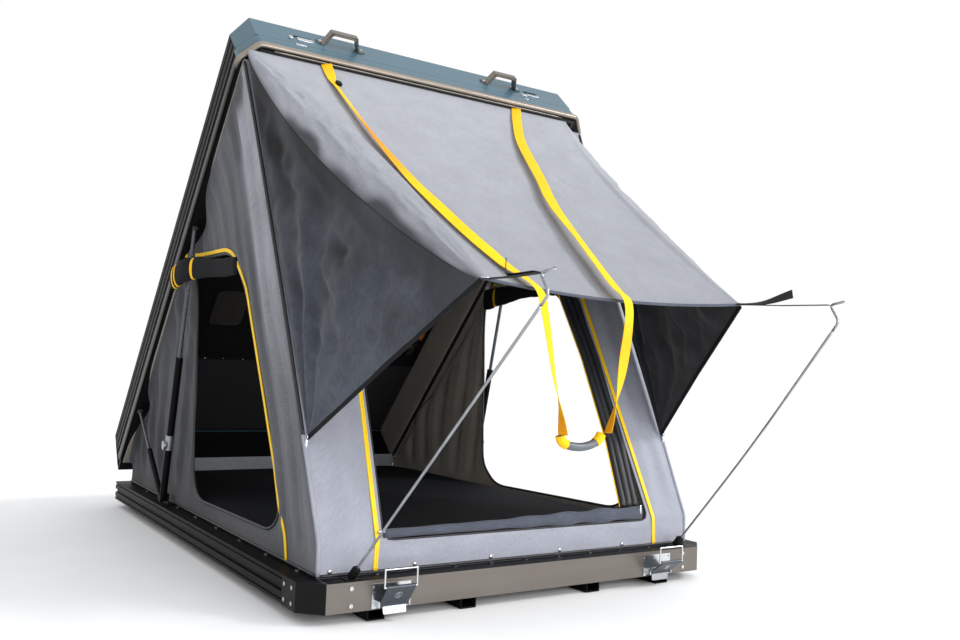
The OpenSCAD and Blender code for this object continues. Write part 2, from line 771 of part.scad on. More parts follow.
module long_tube() {
    floor_t0 = long_closed - long_open + tube_l - rod_hold - 4;
    difference() {
        union() {
            rod_x(-tube_r + 0.5, tube_r - 0.5, tube_r - 1);
            cylinder(r = tube_r, h = tube_l);
        }
        translate([0, 0, floor_t0]) cylinder(r = rod_r + pin_clear, h = tube_l);
        rod_x(-tube_r - 1, tube_r + 1, strut_pin_r + pin_clear);
    }
}
module strut_tube_left() {
    color("#17171a") at_strut(-1, long_by, long_bz, long_ang) long_tube();
}
module strut_tube_right() {
    color("#17171a") at_strut(1, long_by, long_bz, long_ang) long_tube();
}
module collar(s) {
    difference() {
        translate([0, 0, collar_at]) cylinder(r = tube_r + collar_t, h = collar_l);
        translate([0, 0, collar_at - 1]) cylinder(r = tube_r, h = collar_l + 2);
    }
    translate([s > 0 ? tube_r + collar_t/2 : -tube_r - collar_t/2 - knob_t, 0, collar_at + collar_l*0.3])
        rod_x(0, knob_t, knob_r);
}
module strut_collar_left() {
    color("#b7babd") at_strut(-1, long_by, long_bz, long_ang) collar(-1);
}
module strut_collar_right() {
    color("#b7babd") at_strut(1, long_by, long_bz, long_ang) collar(1);
}
module end_rod(r, from, to) {
    translate([0, 0, from]) cylinder(r = r, h = to - from);
    translate([0, 0, to]) rod_x(-eye_w/2, eye_w/2, eye_r);
}
module strut_rod_left() {
    color("#3a3b3e") at_strut(-1, long_by, long_bz, long_ang) end_rod(rod_r, tube_l - rod_hold,
        long_open);
}
module strut_rod_right() {
    color("#3a3b3e") at_strut(1, long_by, long_bz, long_ang) end_rod(rod_r, tube_l - rod_hold, long_open);
}
module short_cylinder() {
    bottom = short_closed - short_open + short_l - short_hold - 3;
    difference() {
        union() {
            rod_x(-short_r, short_r, short_r);
            cylinder(r = short_r, h = short_l);
        }
        translate([0, 0, bottom]) cylinder(r = short_rod_r + pin_clear, h = short_l);
        rod_x(-short_r - 1, short_r + 1, strut_pin_r + pin_clear);
    }
}
module short_cylinder_left() {
    color("#17171a") at_strut(-1, short_by, short_bz, short_ang) short_cylinder();
}
module short_cylinder_right() {
    color("#17171a") at_strut(1, short_by, short_bz, short_ang) short_cylinder();
}
module short_rod_left() {
    color("#a5a8ab") at_strut(-1, short_by, short_bz, short_ang) end_rod(short_rod_r,
        short_l - short_hold, short_open);
}
module short_rod_right() {
    color("#a5a8ab") at_strut(1, short_by, short_bz, short_ang) end_rod(short_rod_r,
        short_l - short_hold, short_open);
}

// Latches

lever_y = front_y - lever_out;
ear_x = lever_half + face_gap;
module latch_plate() {
    box([-latch_w/2, front_y - latch_t, z0 + 3], [latch_w/2, front_y, z0 + 3 + latch_h]);
    for (s = [-1, 1]) {
        box([s*ear_x, lever_y - 7, z0 + lever_z - 8], [s*(ear_x + 4), front_y - latch_t + 0.5,
            z0 + lever_z + 8]);
        for (z = [z0 + 12, z0 + latch_h - 6])
            translate([s*(latch_w/2 - 5), front_y - latch_t + 0.5, z]) rotate([90, 0,
                0]) cylinder(r = 3, h = 2);
    }
    translate([0, lever_y, z0 + lever_z]) rod_x(-ear_x - 2, ear_x + 2, lever_pin_r);
}
module latch_plate_left() {
    color("#c2c5c9") translate([-latch_x, 0, 0]) latch_plate();
}
module latch_plate_right() {
    color("#c2c5c9") translate([latch_x, 0, 0]) latch_plate();
}
module lever(lean) {
    translate([0, lever_y, z0 + lever_z]) rotate([lean, 0, 0]) difference() {
        union() {
            rod_x(-lever_half, lever_half, barrel_r);
            translate([0, 0, lever_l]) rod_x(-lever_half, lever_half, barrel_r - 1);
            box([-lever_half, -lever_t/2 - 3, 0], [lever_half, lever_t/2 - 3, lever_l]);
            rotate([-60, 0, 0]) box([-lever_half*0.8, -lever_t/2, -lip_l],
                [lever_half*0.8, lever_t/2, 0]);
        }
        rod_x(-lever_half - 1, lever_half + 1, lever_pin_r + pin_clear);
        translate([0, 0, lever_l]) rod_x(-lever_half - 1, lever_half + 1, bail_r + pin_clear);
    }
}
module latch_lever_left() {
    color("#5a6068") translate([-latch_x, 0, 0]) lever(lean_left);
}
module latch_lever_right() {
    color("#5a6068") translate([latch_x, 0, 0]) lever(lean_right);
}
module bail(lean) {
    translate([0, lever_y - lever_l*sin(lean), z0 + lever_z + lever_l*cos(lean)]) {
        rod_x(-bail_half, bail_half, bail_r);
        translate([0, 0, bail_h]) rod_x(-bail_half, bail_half, bail_r);
        for (s = [-1, 1]) {
            translate([s*bail_half, 0, 0]) cylinder(r = bail_r, h = bail_h);
            for (z = [0, bail_h])
                translate([s*bail_half, 0, z]) sphere(r = bail_r);
        }
    }
}
module latch_bail_left() {
    color("#d3d6d9") translate([-latch_x, 0, 0]) bail(lean_left);
}
module latch_bail_right() {
    color("#d3d6d9") translate([latch_x, 0, 0]) bail(lean_right);
}

// Awning rods

function rod_foot(s) = [s*foot_x, front_y + foot_y, z1];
function rod_bend(s) = [s*bend_x, front_y - bend_y, z1 + bend_z];
function rod_dir(s) = (rod_bend(s) - rod_foot(s))/norm(rod_bend(s) - rod_foot(s));
function rod_elbow(s) = rod_bend(s) + [s*2, elbow_y, elbow_z];
function rod_hook(s) = rod_elbow(s) + [-s*4, -hook_l, 6];
module socket(s) {
    d = rod_dir(s);
    f = rod_foot(s);
    box(f + [-20, -22, 0], f + [20, 14, 4]);
    translate(f) rotate([0, acos(d[2]), atan2(d[1], d[0])]) difference() {
        box([-socket_r, -socket_r, 9], [socket_r, socket_r, socket_l]);
        translate([0, 0, 17]) cylinder(r = awning_rod_r + rod_clear, h = socket_l);
    }
}
module rod_sockets() {
    color("#202022") socket(-1);
    color("#202022") socket(1);
}
module awning_rod(s) {
    seg(rod_foot(s) + 17.3*rod_dir(s), rod_bend(s), awning_rod_r);
    seg(rod_bend(s), rod_elbow(s), awning_rod_r);
    seg(rod_elbow(s), rod_hook(s), awning_rod_r);
    for (p = [rod_bend(s), rod_elbow(s), rod_hook(s)])
        translate(p) sphere(r = awning_rod_r*1.15);
}
module awning_rod_left() {
    color("#c5c8cb") awning_rod(-1);
}
module awning_rod_right() {
    color("#c5c8cb") awning_rod(1);
}

// Cloth: closed shells of two grids

function quad(a, b, c, d) = [[a, b, c], [a, c, d]];
function flat(l) = [for (a = l) each a];
function turned(f, s) = s > 0 ? f : [for (t = f) [t[2], t[1], t[0]]];
// Two grids of rows and columns joined along their borders
module slab(T, B, s = 1) {
    n = len(T);
    m = len(T[0]);
    o = n*m;
    top = flat([for (i = [0:n - 2]) for (j = [0:m - 2]) quad(i*m + j, i*m + j + 1, (i + 1)*m + j + 1,
        (i + 1)*m + j)]);
    low = flat([for (i = [0:n - 2]) for (j = [0:m - 2])
        quad(o + i*m + j, o + (i + 1)*m + j, o + (i + 1)*m + j + 1, o + i*m + j + 1)]);
    e1 = flat([for (j = [0:m - 2]) concat(quad(j + 1, j, o + j, o + j + 1),
        quad((n - 1)*m + j, (n - 1)*m + j + 1, o + (n - 1)*m + j + 1, o + (n - 1)*m + j))]);
    e2 = flat([for (i = [0:n - 2]) concat(quad(i*m, (i + 1)*m, o + (i + 1)*m, o + i*m),
        quad((i + 1)*m + m - 1, i*m + m - 1, o + i*m + m - 1, o + (i + 1)*m + m - 1))]);
    polyhedron(points = concat(flat(T), flat(B)), faces = turned(concat(top, low, e1, e2), s),
        convexity = 6);
}
// Two rings of points round an opening, joined along both borders
module ring_slab(T, B, s = 1) {
    n = len(T);
    m = len(T[0]);
    o = n*m;
    top = flat([for (i = [0:n - 2]) for (j = [0:m - 1]) let (k = (j + 1) % m)
        quad(i*m + j, i*m + k, (i + 1)*m + k, (i + 1)*m + j)]);
    low = flat([for (i = [0:n - 2]) for (j = [0:m - 1]) let (k = (j + 1) % m)
        quad(o + i*m + j, o + (i + 1)*m + j, o + (i + 1)*m + k, o + i*m + k)]);
    rim = flat([for (j = [0:m - 1]) let (k = (j + 1) % m, q = (n - 1)*m)
        concat(quad(k, j, o + j, o + k), quad(q + j, q + k, o + q + k, o + q + j))]);
    polyhedron(points = concat(flat(T), flat(B)), faces = turned(concat(top, low, rim), s),
        convexity = 6);
}
// A stack of closed rings with flat ends
module stack(R, s = 1) {
    n = len(R);
    m = len(R[0]);
    side = flat([for (i = [0:n - 2]) for (j = [0:m - 1]) let (k = (j + 1) % m)
        quad(i*m + j, i*m + k, (i + 1)*m + k, (i + 1)*m + j)]);
    ends = concat([for (j = [1:m - 2]) [0, j + 1, j]], [for (j = [1:m - 2]) [(n - 1)*m, (n - 1)*m + j,
        (n - 1)*m + j + 1]]);
    polyhedron(points = flat(R), faces = turned(concat(side, ends), s), convexity = 4);
}
function reach(poly, c, a) = min([for (i = [0:len(poly) - 1])
    let (p = poly[i] - c, e = poly[(i + 1) % len(poly)] - poly[i], d = cos(a)*e[1] - sin(a)*e[0],
        t = abs(d) < 1e-9 ? -1 : (p[0]*e[1] - p[1]*e[0])/d)
    if (t > 0) t]);
function sorted(v) = len(v) < 2 ? v : let (p = v[0], r = [for (i = [1:len(v) - 1]) v[i]])
    concat(sorted([for (q = r) if (q < p) q]), [p], sorted([for (q = r) if (q >= p) q]));
function corner_angles(poly, c) = [for (p = poly) (atan2(p[1] - c[1], p[0] - c[0]) + 360) % 360];
function fill(v, step) = [for (i = [0:len(v) - 1])
    let (a = v[i], b = i < len(v) - 1 ? v[i + 1] : v[0] + 360, k = max(1, ceil((b - a)/step)))
    for (j = [0:k - 1]) a + (b - a)*j/k];
// Flat points between an opening and an outline, as [point, share of the way out]
function ring_points(outer, inner, c, rows, step) =
    let (v = fill(sorted(concat(corner_angles(outer, c), corner_angles(inner, c))), step))
    [for (i = [0:rows]) [for (a = v) let (p = reach(inner, c, a), q = reach(outer, c, a), t = i/rows)
        [c + (p + (q - p)*t)*[cos(a), sin(a)], t]]];

wall_x = up_x + upstand_t + cloth_t/2 + hem_gap;
rim_x = flange_x - cloth_t/2 - hem_gap;
kink_z = hinge_z + 45;
hem_z = z1 + face_gap;
function rim_z(y) = hinge_z + (hinge_y - y)*so/co;
function side_x(y, z) = let (h = rim_z(y) - hinge_z, low = min(60, h*0.1),
    g = (z - hinge_z - low)/(h - low))
    wall_x + (rim_x - wall_x)*max(0, min(1, g));
side_top_u = flange_u - 2;
side_outline = [[up_rear - 6, hem_z], [up_rear - 16, hinge_z + 5], [lid_y(74, -seal_h - 1), lid_z(74, -seal_h - 1)],
    [lid_y(side_top_u, 4), lid_z(side_top_u, 4)], [up_front - 1, kink_z], [up_front - 1, hem_z]];
door_z0 = z1 + door_sill;
door_z1 = z1 + door_top;
door = [[175, door_z1], [-240, door_z1 - 10], [-300, door_z1 - 30], [-365, door_z1 - 105],
    [-750, door_z0 + 65], [-738, door_z0 + 25], [-690, door_z0], [40, door_z0], [90, door_z0 + 20],
    [110, door_z0 + 65], [165, door_z1 - 100]];
door_c = [-170, 520];
module side_wall(s) {
    P = ring_points(side_outline, door, door_c, 5, 8);
    f = fold_d;
    T = [for (r = P) [for (q = r) let (y = q[0][0], z = q[0][1], e = sin(180*q[1]))
        [s*(side_x(y, z) + cloth_t/2 + f*e*(0.6 + 0.6*sin(360*y/fold_pitch))), y, z]]];
    B = [for (r = T) [for (q = r) q - [s*cloth_t, 0, 0]]];
    ring_slab(T, B, -s);
}
module side_wall_left() {
    color("#55585f") side_wall(-1);
}
module side_wall_right() {
    color("#3f4147") side_wall(1);
}
front_low = [up_front - cloth_t/2 - hem_gap, hem_z];
front_high = [lid_y(side_top_u, 4), lid_z(side_top_u, 4)];
front_len = norm(front_high - front_low);
// The front wall stands upright past the upstand, then leans in to the lid
function front_at(z) = front_low[0] + (front_high[0] - front_low[0])*max(0,
    (z - kink_z)/(front_high[1] - kink_z));
module front_wall() {
    k = front_len/(front_high[1] - front_low[1]);
    low_x = up_x + upstand_t;
    bend = (kink_z - hem_z)/(front_high[1] - front_low[1]);
    kink_x = low_x + (rim_x - 5 - low_x)*bend;
    outline = [[-low_x, 0], [low_x, 0], [kink_x, bend*front_len], [rim_x - 5, front_len],
        [-rim_x + 5, front_len], [-kink_x, bend*front_len]];
    entry = [[-entry_half, (entry_sill - 2)*k], [entry_half, (entry_sill - 2)*k],
        [entry_half*0.93, front_len - 130],
        [-entry_half*0.93, front_len - 130]];
    P = ring_points(outline, entry, [0, 2*(entry_sill - 2)*k], 4, 7);
    T = [for (r = P) [for (q = r) let (h = q[0][1]/front_len,
        z = front_low[1] + (front_high[1] - front_low[1])*h, e = sin(180*q[1])*min(1, h*6))
        [q[0][0], front_at(z) - cloth_t/2 - fold_d*e*(0.5 + 0.5*sin(360*q[0][1]/fold_pitch)), z]]];
    B = [for (r = T) [for (q = r) q + [0, cloth_t, 0]]];
    color("#9a9da6") ring_slab(T, B, -1);
}
module rear_wall() {
    path = [[up_rear + upstand_t + cloth_t/2 + face_gap, hem_z],
        [up_rear + upstand_t + cloth_t/2 + face_gap, hinge_z],
        [lid_y(rear_u + rear_t + 46, -7), lid_z(rear_u + rear_t + 46, -7)],
        [lid_y(rear_u + rear_t + 57, 2), lid_z(rear_u + rear_t + 57, 2)]];
    T = [for (p = path) [for (i = [0:12]) let (a = i/6 - 1) [a*(rim_x - 6), p[0] + cloth_t/2, p[1]]]];
    B = [for (r = T) [for (q = r) q - [0, cloth_t, 0]]];
    color("#55585f") slab(T, B, -1);
}
module door_roll(s) {
    x = side_x(0, door_z1) + cloth_t/2 + fold_d*1.4 + roll_d + 2;
    y0 = -310;
    n = 14;
    R = [for (i = [0:n]) let (t = i/n, e = 1 - 0.25*pow(abs(2*t - 1), 8), y = y0 + roll_l*t,
        c = door_z1 - roll_h - roll_gap + 0.065*y)
        [for (j = [0:11]) let (a = 30*j, w = 1 + 0.06*sin(900*t))
            [s*(x + roll_d*e*cos(a)), y, c - 10*sin(180*t) + roll_h*e*w*sin(a)]]];
    stack(R, s);
}
module door_roll_left() {
    color("#1c1d20") door_roll(-1);
}
module door_roll_right() {
    color("#1c1d20") door_roll(1);
}
module mattress() {
    hx = up_x - 20;
    ya = beam_back + 8;
    yb = rear_in - 8;
    T = [for (i = [0:16]) [for (j = [0:12]) let (a = i/8 - 1, b = j/6 - 1, d = 1 - pow(abs(a), 10),
        e = 1 - pow(abs(b), 10))
        [b*hx, ya + (yb - ya)*(a + 1)/2,
        floor_z + face_gap + mattress_h*(0.62 + 0.33*sqrt(d*e) + 0.05*(1 - a*a)*(1 - b*b))]]];
    B = [for (r = T) [for (q = r) [q[0]*0.985, q[1]*0.992, floor_z + face_gap]]];
    color("#202124") slab(T, B);
}

// Awning, wings, straps

awn_y0 = lid_y(lid_len - 33, -face_gap);
awn_z0 = lid_z(lid_len - 33, -face_gap);
awn_y1 = front_y - awning_out;
awn_z1 = z1 + awning_z;
function awn(x, b) = let (h = awning_half + (awning_front - awning_half)*b, a = max(-1, min(1, x/h)))
    [x, awn_y0 + (awn_y1 - awn_y0)*b + awning_sag*0.5*(1 - a*a)*b,
        awn_z0 + (awn_z1 - awn_z0)*b - (1 - a*a)*(awning_sag*b + 14*sin(180*b))];
module awning() {
    T = [for (i = [0:14]) let (b = i/14) [for (j = [0:12]) let (a = j/6 - 1)
        awn(a*(awning_half + (awning_front - awning_half)*b), b)]];
    B = [for (r = T) [for (q = r) q - [0, 0, awning_t]]];
    color("#b0b3bd") slab(T, B, -1);
}
module wing(s) {
    L = awn(s*(awning_half - 2), 0) - [0, 3, awning_t + face_gap + 2.2];
    A = awn(s*(awning_front - 2), 1) - [0, -2, awning_t + face_gap];
    tip = [s*(wall_x - 6), front_at(z1 + wing_tip_z) - 8, z1 + wing_tip_z];
    T = [for (i = [0:12]) let (t = 0.98*i/12, p = L + (A - L)*t,
        q = tip + (A - tip)*t) [for (j = [0:10]) let (g = j/10)
        p + (q - p)*g + [s*12*sin(180*g)*sin(180*t)*(0.7 + 0.5*sin(540*g + 200*t)),
            -10*sin(180*g)*(1 - t), 0]]];
    B = [for (r = T) [for (q = r) q - [s*awning_t, 0, 0]]];
    slab(T, B, -s);
}
module awning_wings() {
    color("#3a3d44") wing(-1);
    color("#3a3d44") wing(1);
}
// A flat strap along points, w wide, across direction c and with thickness along direction d
module ribbon(P, w, c, d, s = 1) {
    T = [for (p = P) [p - c*w/2, p + c*w/2]];
    B = [for (r = T) [for (q = r) q + d*strap_t]];
    slab(T, B, s);
}
module corner_strap(s) {
    a = awn(s*(awning_front - corner_strap_w/2 - 1), 1) - [0, face_gap, 0];
    b = rod_elbow(s) + [0, awning_rod_r*1.15 + face_gap, 0];
    t = [0, 0, strap_t];
    ribbon([a, (a + b)/2 - [0, 0, 3], b], corner_strap_w, [1, 0, 0], [0, 0, -1], -1);
    ribbon([b + t + [0, 0, face_gap], b + t + [0, 24, 4], b*0.55 + a*0.45 + [0, 0, 34],
        b*0.45 + a*0.55 + [0, 0, 40]],
        corner_strap_w, [1, 0, 0], [0, 0, -1], 1);
}
module corner_straps() {
    color("#1a1a1c") corner_strap(-1);
    color("#1a1a1c") corner_strap(1);
}
module pull_handle() {
    path = [[-212, 500], [-205, 484], [-190, 474], [-168, 469], [-140, 472], [-114, 481], [-94, 493],
        [-82, 508]];
    y = awn_y1 - 22;
    R = [for (i = [0:7]) let (d = path[min(7, i + 1)] - path[max(0, i - 1)], n = [-d[1], d[0]]/norm(d))
        [for (j = [0:9]) let (a = 36*j) [path[i][0] + tube_handle_r*cos(a)*n[0], y + tube_handle_r*sin(a),
            path[i][1] + tube_handle_r*cos(a)*n[1]]]];
    color("#6a6c70") stack(R, 1);
}
strap_up = [0, -0.6, 0.8];
function on_awning(x, b) = awn(x, b) + 2.2*strap_up;
module pull_strap() {
    hang = awn_y1 - 22;
    left = concat([for (p = [[-412, 0.0008], [-420, 0.05], [-437, 0.13], [-427, 0.225], [-390, 0.456],
        [-378, 0.71], [-342, 0.838],
        [-285, 0.925], [-266, 0.99]]) on_awning(p[0], p[1])],
        [[-264, hang, z1 + 722], [-267, hang, z1 + 667], [-256, hang, z1 + 571], [-237, hang, z1 + 476],
            [-216, hang, z1 + 400]]);
    right = concat([for (p = [[400, 0.0008], [394, 0.05], [311, 0.134], [221, 0.372], [122, 0.651],
        [60, 0.835], [8, 0.99]]) on_awning(p[0], p[1])],
        [[2, hang, z1 + 722], [-12, hang, z1 + 660], [-28, hang, z1 + 580], [-44, hang, z1 + 500],
            [-68, hang, z1 + 440],
            [-78, hang, z1 + 409]]);
    color("#f2b900") {
        ribbon(left, strap_w*0.9, [1, 0, 0], [0, -0.6, 0.8], -1);
        ribbon(right, strap_w*0.9, [1, 0, 0], [0, -0.6, 0.8], -1);
    }
}

mounting_rails();
cross_members();
floor_panel();
front_beam();
rear_beam();
side_rail_left();
side_rail_right();
corner_blocks();
upstand();
frame_bolts();
press_studs();
mattress();
hinge_base_leaves();
hinge_pins();
strut_base_brackets();
latch_plate_left();
latch_plate_right();
rod_sockets();
side_wall_left();
side_wall_right();
front_wall();
rear_wall();
door_roll_left();
door_roll_right();
lid_roof();
lid_front_panel();
lid_rear_panel();
lid_side_rail_left();
lid_side_rail_right();
lid_frame_front();
lid_frame_left();
lid_frame_right();
lid_seal();
lid_lining();
handle_left();
handle_right();
lid_bolts();
hinge_lid_leaves();
strut_lid_brackets();
strut_tube_left();
strut_tube_right();
strut_collar_left();
strut_collar_right();
strut_rod_left();
strut_rod_right();
short_cylinder_left();
short_cylinder_right();
short_rod_left();
short_rod_right();
latch_lever_left();
latch_lever_right();
latch_bail_left();
latch_bail_right();
awning_rod_left();
awning_rod_right();
awning();
awning_wings();
corner_straps();
pull_handle();
pull_strap();
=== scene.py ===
"""Roof top tent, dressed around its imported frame. Metres, X across, -Y towards the entrance, +Z up."""
import math
import bpy
import numpy as np
from mathutils import Matrix


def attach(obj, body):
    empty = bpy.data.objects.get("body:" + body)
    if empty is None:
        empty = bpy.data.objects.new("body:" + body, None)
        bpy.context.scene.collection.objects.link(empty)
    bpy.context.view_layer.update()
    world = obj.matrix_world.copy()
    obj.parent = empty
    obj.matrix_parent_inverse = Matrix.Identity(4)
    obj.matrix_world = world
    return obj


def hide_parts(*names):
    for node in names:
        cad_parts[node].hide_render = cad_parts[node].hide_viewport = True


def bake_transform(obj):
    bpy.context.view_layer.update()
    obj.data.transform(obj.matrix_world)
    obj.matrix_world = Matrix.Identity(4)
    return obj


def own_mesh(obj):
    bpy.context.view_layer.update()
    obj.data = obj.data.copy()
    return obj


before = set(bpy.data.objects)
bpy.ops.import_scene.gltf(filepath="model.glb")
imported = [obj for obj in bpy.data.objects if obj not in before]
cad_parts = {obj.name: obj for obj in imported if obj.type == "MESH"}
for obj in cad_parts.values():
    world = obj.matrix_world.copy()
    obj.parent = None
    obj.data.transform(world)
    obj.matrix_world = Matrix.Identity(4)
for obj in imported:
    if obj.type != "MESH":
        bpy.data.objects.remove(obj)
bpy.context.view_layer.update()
scene = bpy.context.scene
DEG = math.pi/180

# Sizes shared with the CAD source, in metres
HALF_W = 0.700
LEDGE_Z, HEM_Z = 0.105, 0.1055
HINGE_Y, HINGE_Z = 1.067, 0.150
OPEN = 46*DEG
CO, SO = math.cos(OPEN), math.sin(OPEN)
WALL_X = 0.643
FRONT_LOW, FRONT_HIGH = -1.013, (-0.3502, 1.6118)
CLOTH = 0.0016
SIDES = ((-1, "left"), (1, "right"))


def lid_pt(x, u, w):
    """Point of the open lid: x across, u from the hinge to the front along the rim, w square to the rim."""
    x, u, w = np.broadcast_arrays(*(np.asarray(a, float) for a in (x, u, w)))
    return np.stack([x, HINGE_Y - u*CO + w*SO, HINGE_Z + u*SO + w*CO], -1)


# Camera at the photograph's view, fitted to the corners of the base and the lid
SENSOR, LENS = 36.0, 34.33
EYE, YAW, PITCH, TILT = (-1.597, -3.185, 0.641), 33.06*DEG, 3.26*DEG, 2.09*DEG


def unit(v):
    """Vectors along the last axis, scaled to length one."""
    v = np.asarray(v, float)
    return v/np.maximum(np.linalg.norm(v, axis=-1, keepdims=True), 1e-12)


def make_camera(place, yaw, pitch, roll, lens):
    """Camera that looks along (sin yaw cos pitch, cos yaw cos pitch, sin pitch), rolled about that line."""
    ahead = np.array([math.sin(yaw)*math.cos(pitch), math.cos(yaw)*math.cos(pitch), math.sin(pitch)])
    level = np.array([math.cos(yaw), -math.sin(yaw), 0.0])
    up = np.cross(level, ahead)
    right = level*math.cos(roll) + up*math.sin(roll)
    top = up*math.cos(roll) - level*math.sin(roll)
    data = bpy.data.cameras.new("view")
    data.lens, data.sensor_width = lens, SENSOR
    cam = bpy.data.objects.new("view", data)
    scene.collection.objects.link(cam)
    cam.matrix_world = Matrix([[right[k], top[k], -ahead[k], place[k]] for k in range(3)] + [[0, 0, 0, 1]])
    scene.camera = cam


make_camera(EYE, YAW, PITCH, TILT, LENS)


# Finishes

# A wave texture of scale s repeats every 314/s mm on a map in metres
WAVE_MM, PATCH_SCALE = 314, 8.0
FINE_SHARE, PATCH_SHARE = 0.55, 0.45


def linear(code):
    """An sRGB hex colour as linear RGBA."""
    c = np.array([int(code[i:i + 2], 16) for i in (1, 3, 5)])/255
    c = np.where(c <= 0.04045, c/12.92, ((c + 0.055)/1.055)**2.4)
    return (*c, 1.0)


def add(tree, kind, into=None, **settings):
    """Adds one node: settings are its own options, into maps its inputs to a value or to another output."""
    made = tree.nodes.new("ShaderNode" + kind)
    for key, value in settings.items():
        setattr(made, key, value)
    for key, value in (into or {}).items():
        if isinstance(value, bpy.types.NodeSocket):
            tree.links.new(value, made.inputs[key])
        else:
            made.inputs[key].default_value = value
    return made


def finish(name, dark, light, rough, grain, relief=0.0, spread=0.1, coords="Object", weave=None,
           fade=None, **sockets):
    """A finish between two tones. One noise with cells of grain millimetres along x, y and z, and one of soft
    patches about 120 mm wide, mix the tones, move the roughness by spread and raise the surface by relief
    metres. weave = (across mm, along mm, share) lays two sets of threads over the UV map, which is in metres.
    fade = (attribute, colour) mixes a third tone in where the piece's own attribute is high."""
    mat = bpy.data.materials.new(name)
    mat.use_nodes = True
    tree = mat.node_tree
    shader = tree.nodes["Principled BSDF"]
    for key, value in sockets.items():
        shader.inputs[key.replace("_", " ")].default_value = value
    where = add(tree, "TexCoord").outputs[coords]
    cells = add(tree, "Mapping", {"Vector": where, "Scale": tuple(1000/g for g in grain)}).outputs[0]
    fine = add(tree, "TexNoise", {"Vector": cells, "Scale": 1.0, "Detail": 3.0}).outputs[0]
    patch = add(tree, "TexNoise", {"Vector": where, "Scale": PATCH_SCALE, "Detail": 4.0,
                                   "Roughness": 0.6}).outputs[0]
    blend = add(tree, "Math", {0: fine, 1: FINE_SHARE}, operation="MULTIPLY").outputs[0]
    blend = add(tree, "Math", {0: patch, 1: PATCH_SHARE, 2: blend}, operation="MULTIPLY_ADD").outputs[0]
    height = fine
    if weave:
        across, along = (add(tree, "TexWave", {"Vector": where, "Scale": WAVE_MM/step},
                             bands_direction=way).outputs[1] for step, way in zip(weave, "XY"))
        threads = add(tree, "Math", {0: across, 1: along}, operation="MULTIPLY").outputs[0]
        blend = add(tree, "Math", {0: threads, 1: weave[2], 2: blend}, operation="MULTIPLY_ADD").outputs[0]
        height = add(tree, "Math", {0: threads, 1: fine}, operation="ADD").outputs[0]
    sharp = add(tree, "MapRange", {"Value": blend, "From Min": 0.3, "From Max": 0.75}).outputs[0]
    tone = add(tree, "Mix", {0: sharp, 6: linear(dark), 7: linear(light)}, data_type="RGBA").outputs[2]
    if fade:
        amount = add(tree, "Attribute", attribute_name=fade[0]).outputs["Fac"]
        tone = add(tree, "Mix", {0: amount, 6: tone, 7: linear(fade[1])}, data_type="RGBA").outputs[2]
    tree.links.new(tone, shader.inputs["Base Color"])
    worn = add(tree, "MapRange", {"Value": blend, "From Min": 0.2, "From Max": 0.8,
                                  "To Min": rough - spread, "To Max": rough + spread}).outputs[0]
    tree.links.new(worn, shader.inputs["Roughness"])
    if relief:
        bump = add(tree, "Bump", {"Strength": 0.6, "Distance": relief, "Height": height}).outputs[0]
        tree.links.new(bump, shader.inputs["Normal"])
    return mat


# Ripstop polycotton canvas: matt, thread ends and slubs make fine streaks. Threads are about 0.6 mm apart and
# are drawn at 5 mm so that they show.
CANVAS = dict(rough=0.86, grain=(4, 30, 9), relief=0.0009, spread=0.06, coords="UV", weave=(5, 5, 0.22),
              Sheen_Weight=0.15, Sheen_Roughness=0.5, Specular_IOR_Level=0.25)
# Side wall canvas: its fade is painted shade, pale along the front seam and darkest at the rear
canvas_side = finish("canvas_side_painted_shade", "#6e7077", "#9a9ca5", fade=("shade", "#2b2c30"), **CANVAS)
canvas_front = finish("canvas_pale", "#80838d", "#9a9da8", **CANVAS)
# Awning canvas: its fade is painted shade
canvas_awning_painted_shade = finish("canvas_awning_painted_shade", "#85888f", "#9ea1a9", fade=("shade", "#33363c"), **CANVAS)
# Wing canvas: drawn darker than the awning's cloth as painted shade, and its fade adds more painted shade
canvas_wing_painted_shade = finish("canvas_wing_painted_shade", "#363a42", "#4f545f", rough=0.86, grain=(9, 9, 16), relief=0.0012,
                     spread=0.06, fade=("shade", "#0f1012"), Sheen_Weight=0.15, Specular_IOR_Level=0.25)
canvas_flap = finish("canvas_flap", "#1d1e21", "#303136", **CANVAS)
# Inner face of the canvas: the cloth's own grey, with a warm tint of painted bounce light
canvas_inner_painted_bounce = finish("canvas_inner_painted_bounce", "#857e76", "#a19a91", **CANVAS)
canvas_pocket = finish("canvas_pocket", "#25221f", "#363230", **CANVAS)
canvas_strip = finish("canvas_strip", "#8a8d95", "#a3a6ad", **CANVAS)
canvas_sill = finish("canvas_sill", "#343842", "#505562", **CANVAS)
# Black polyester cover cloth: the same weave, drawn at 4 mm, with nearly no sheen
COVER = dict(rough=0.9, grain=(4, 24, 9), relief=0.001, spread=0.05, coords="UV", weave=(4, 4, 0.25),
             Specular_IOR_Level=0.2)
canvas_black = finish("canvas_black", "#101113", "#1d1e21", **COVER)
cover_navy = finish("cover_navy", "#05070c", "#0c0f16", **COVER)
canvas_lining = finish("canvas_lining", "#0c0c0d", "#18181a", fade=("shade", "#303033"), **COVER)
# Coated door cloth: the coating leaves soft highlights along the rolls
cloth_coated = finish("cloth_coated", "#0d0e11", "#25272c", rough=0.5, grain=(3, 40, 9), relief=0.0006,
                      coords="UV", Specular_IOR_Level=0.5)
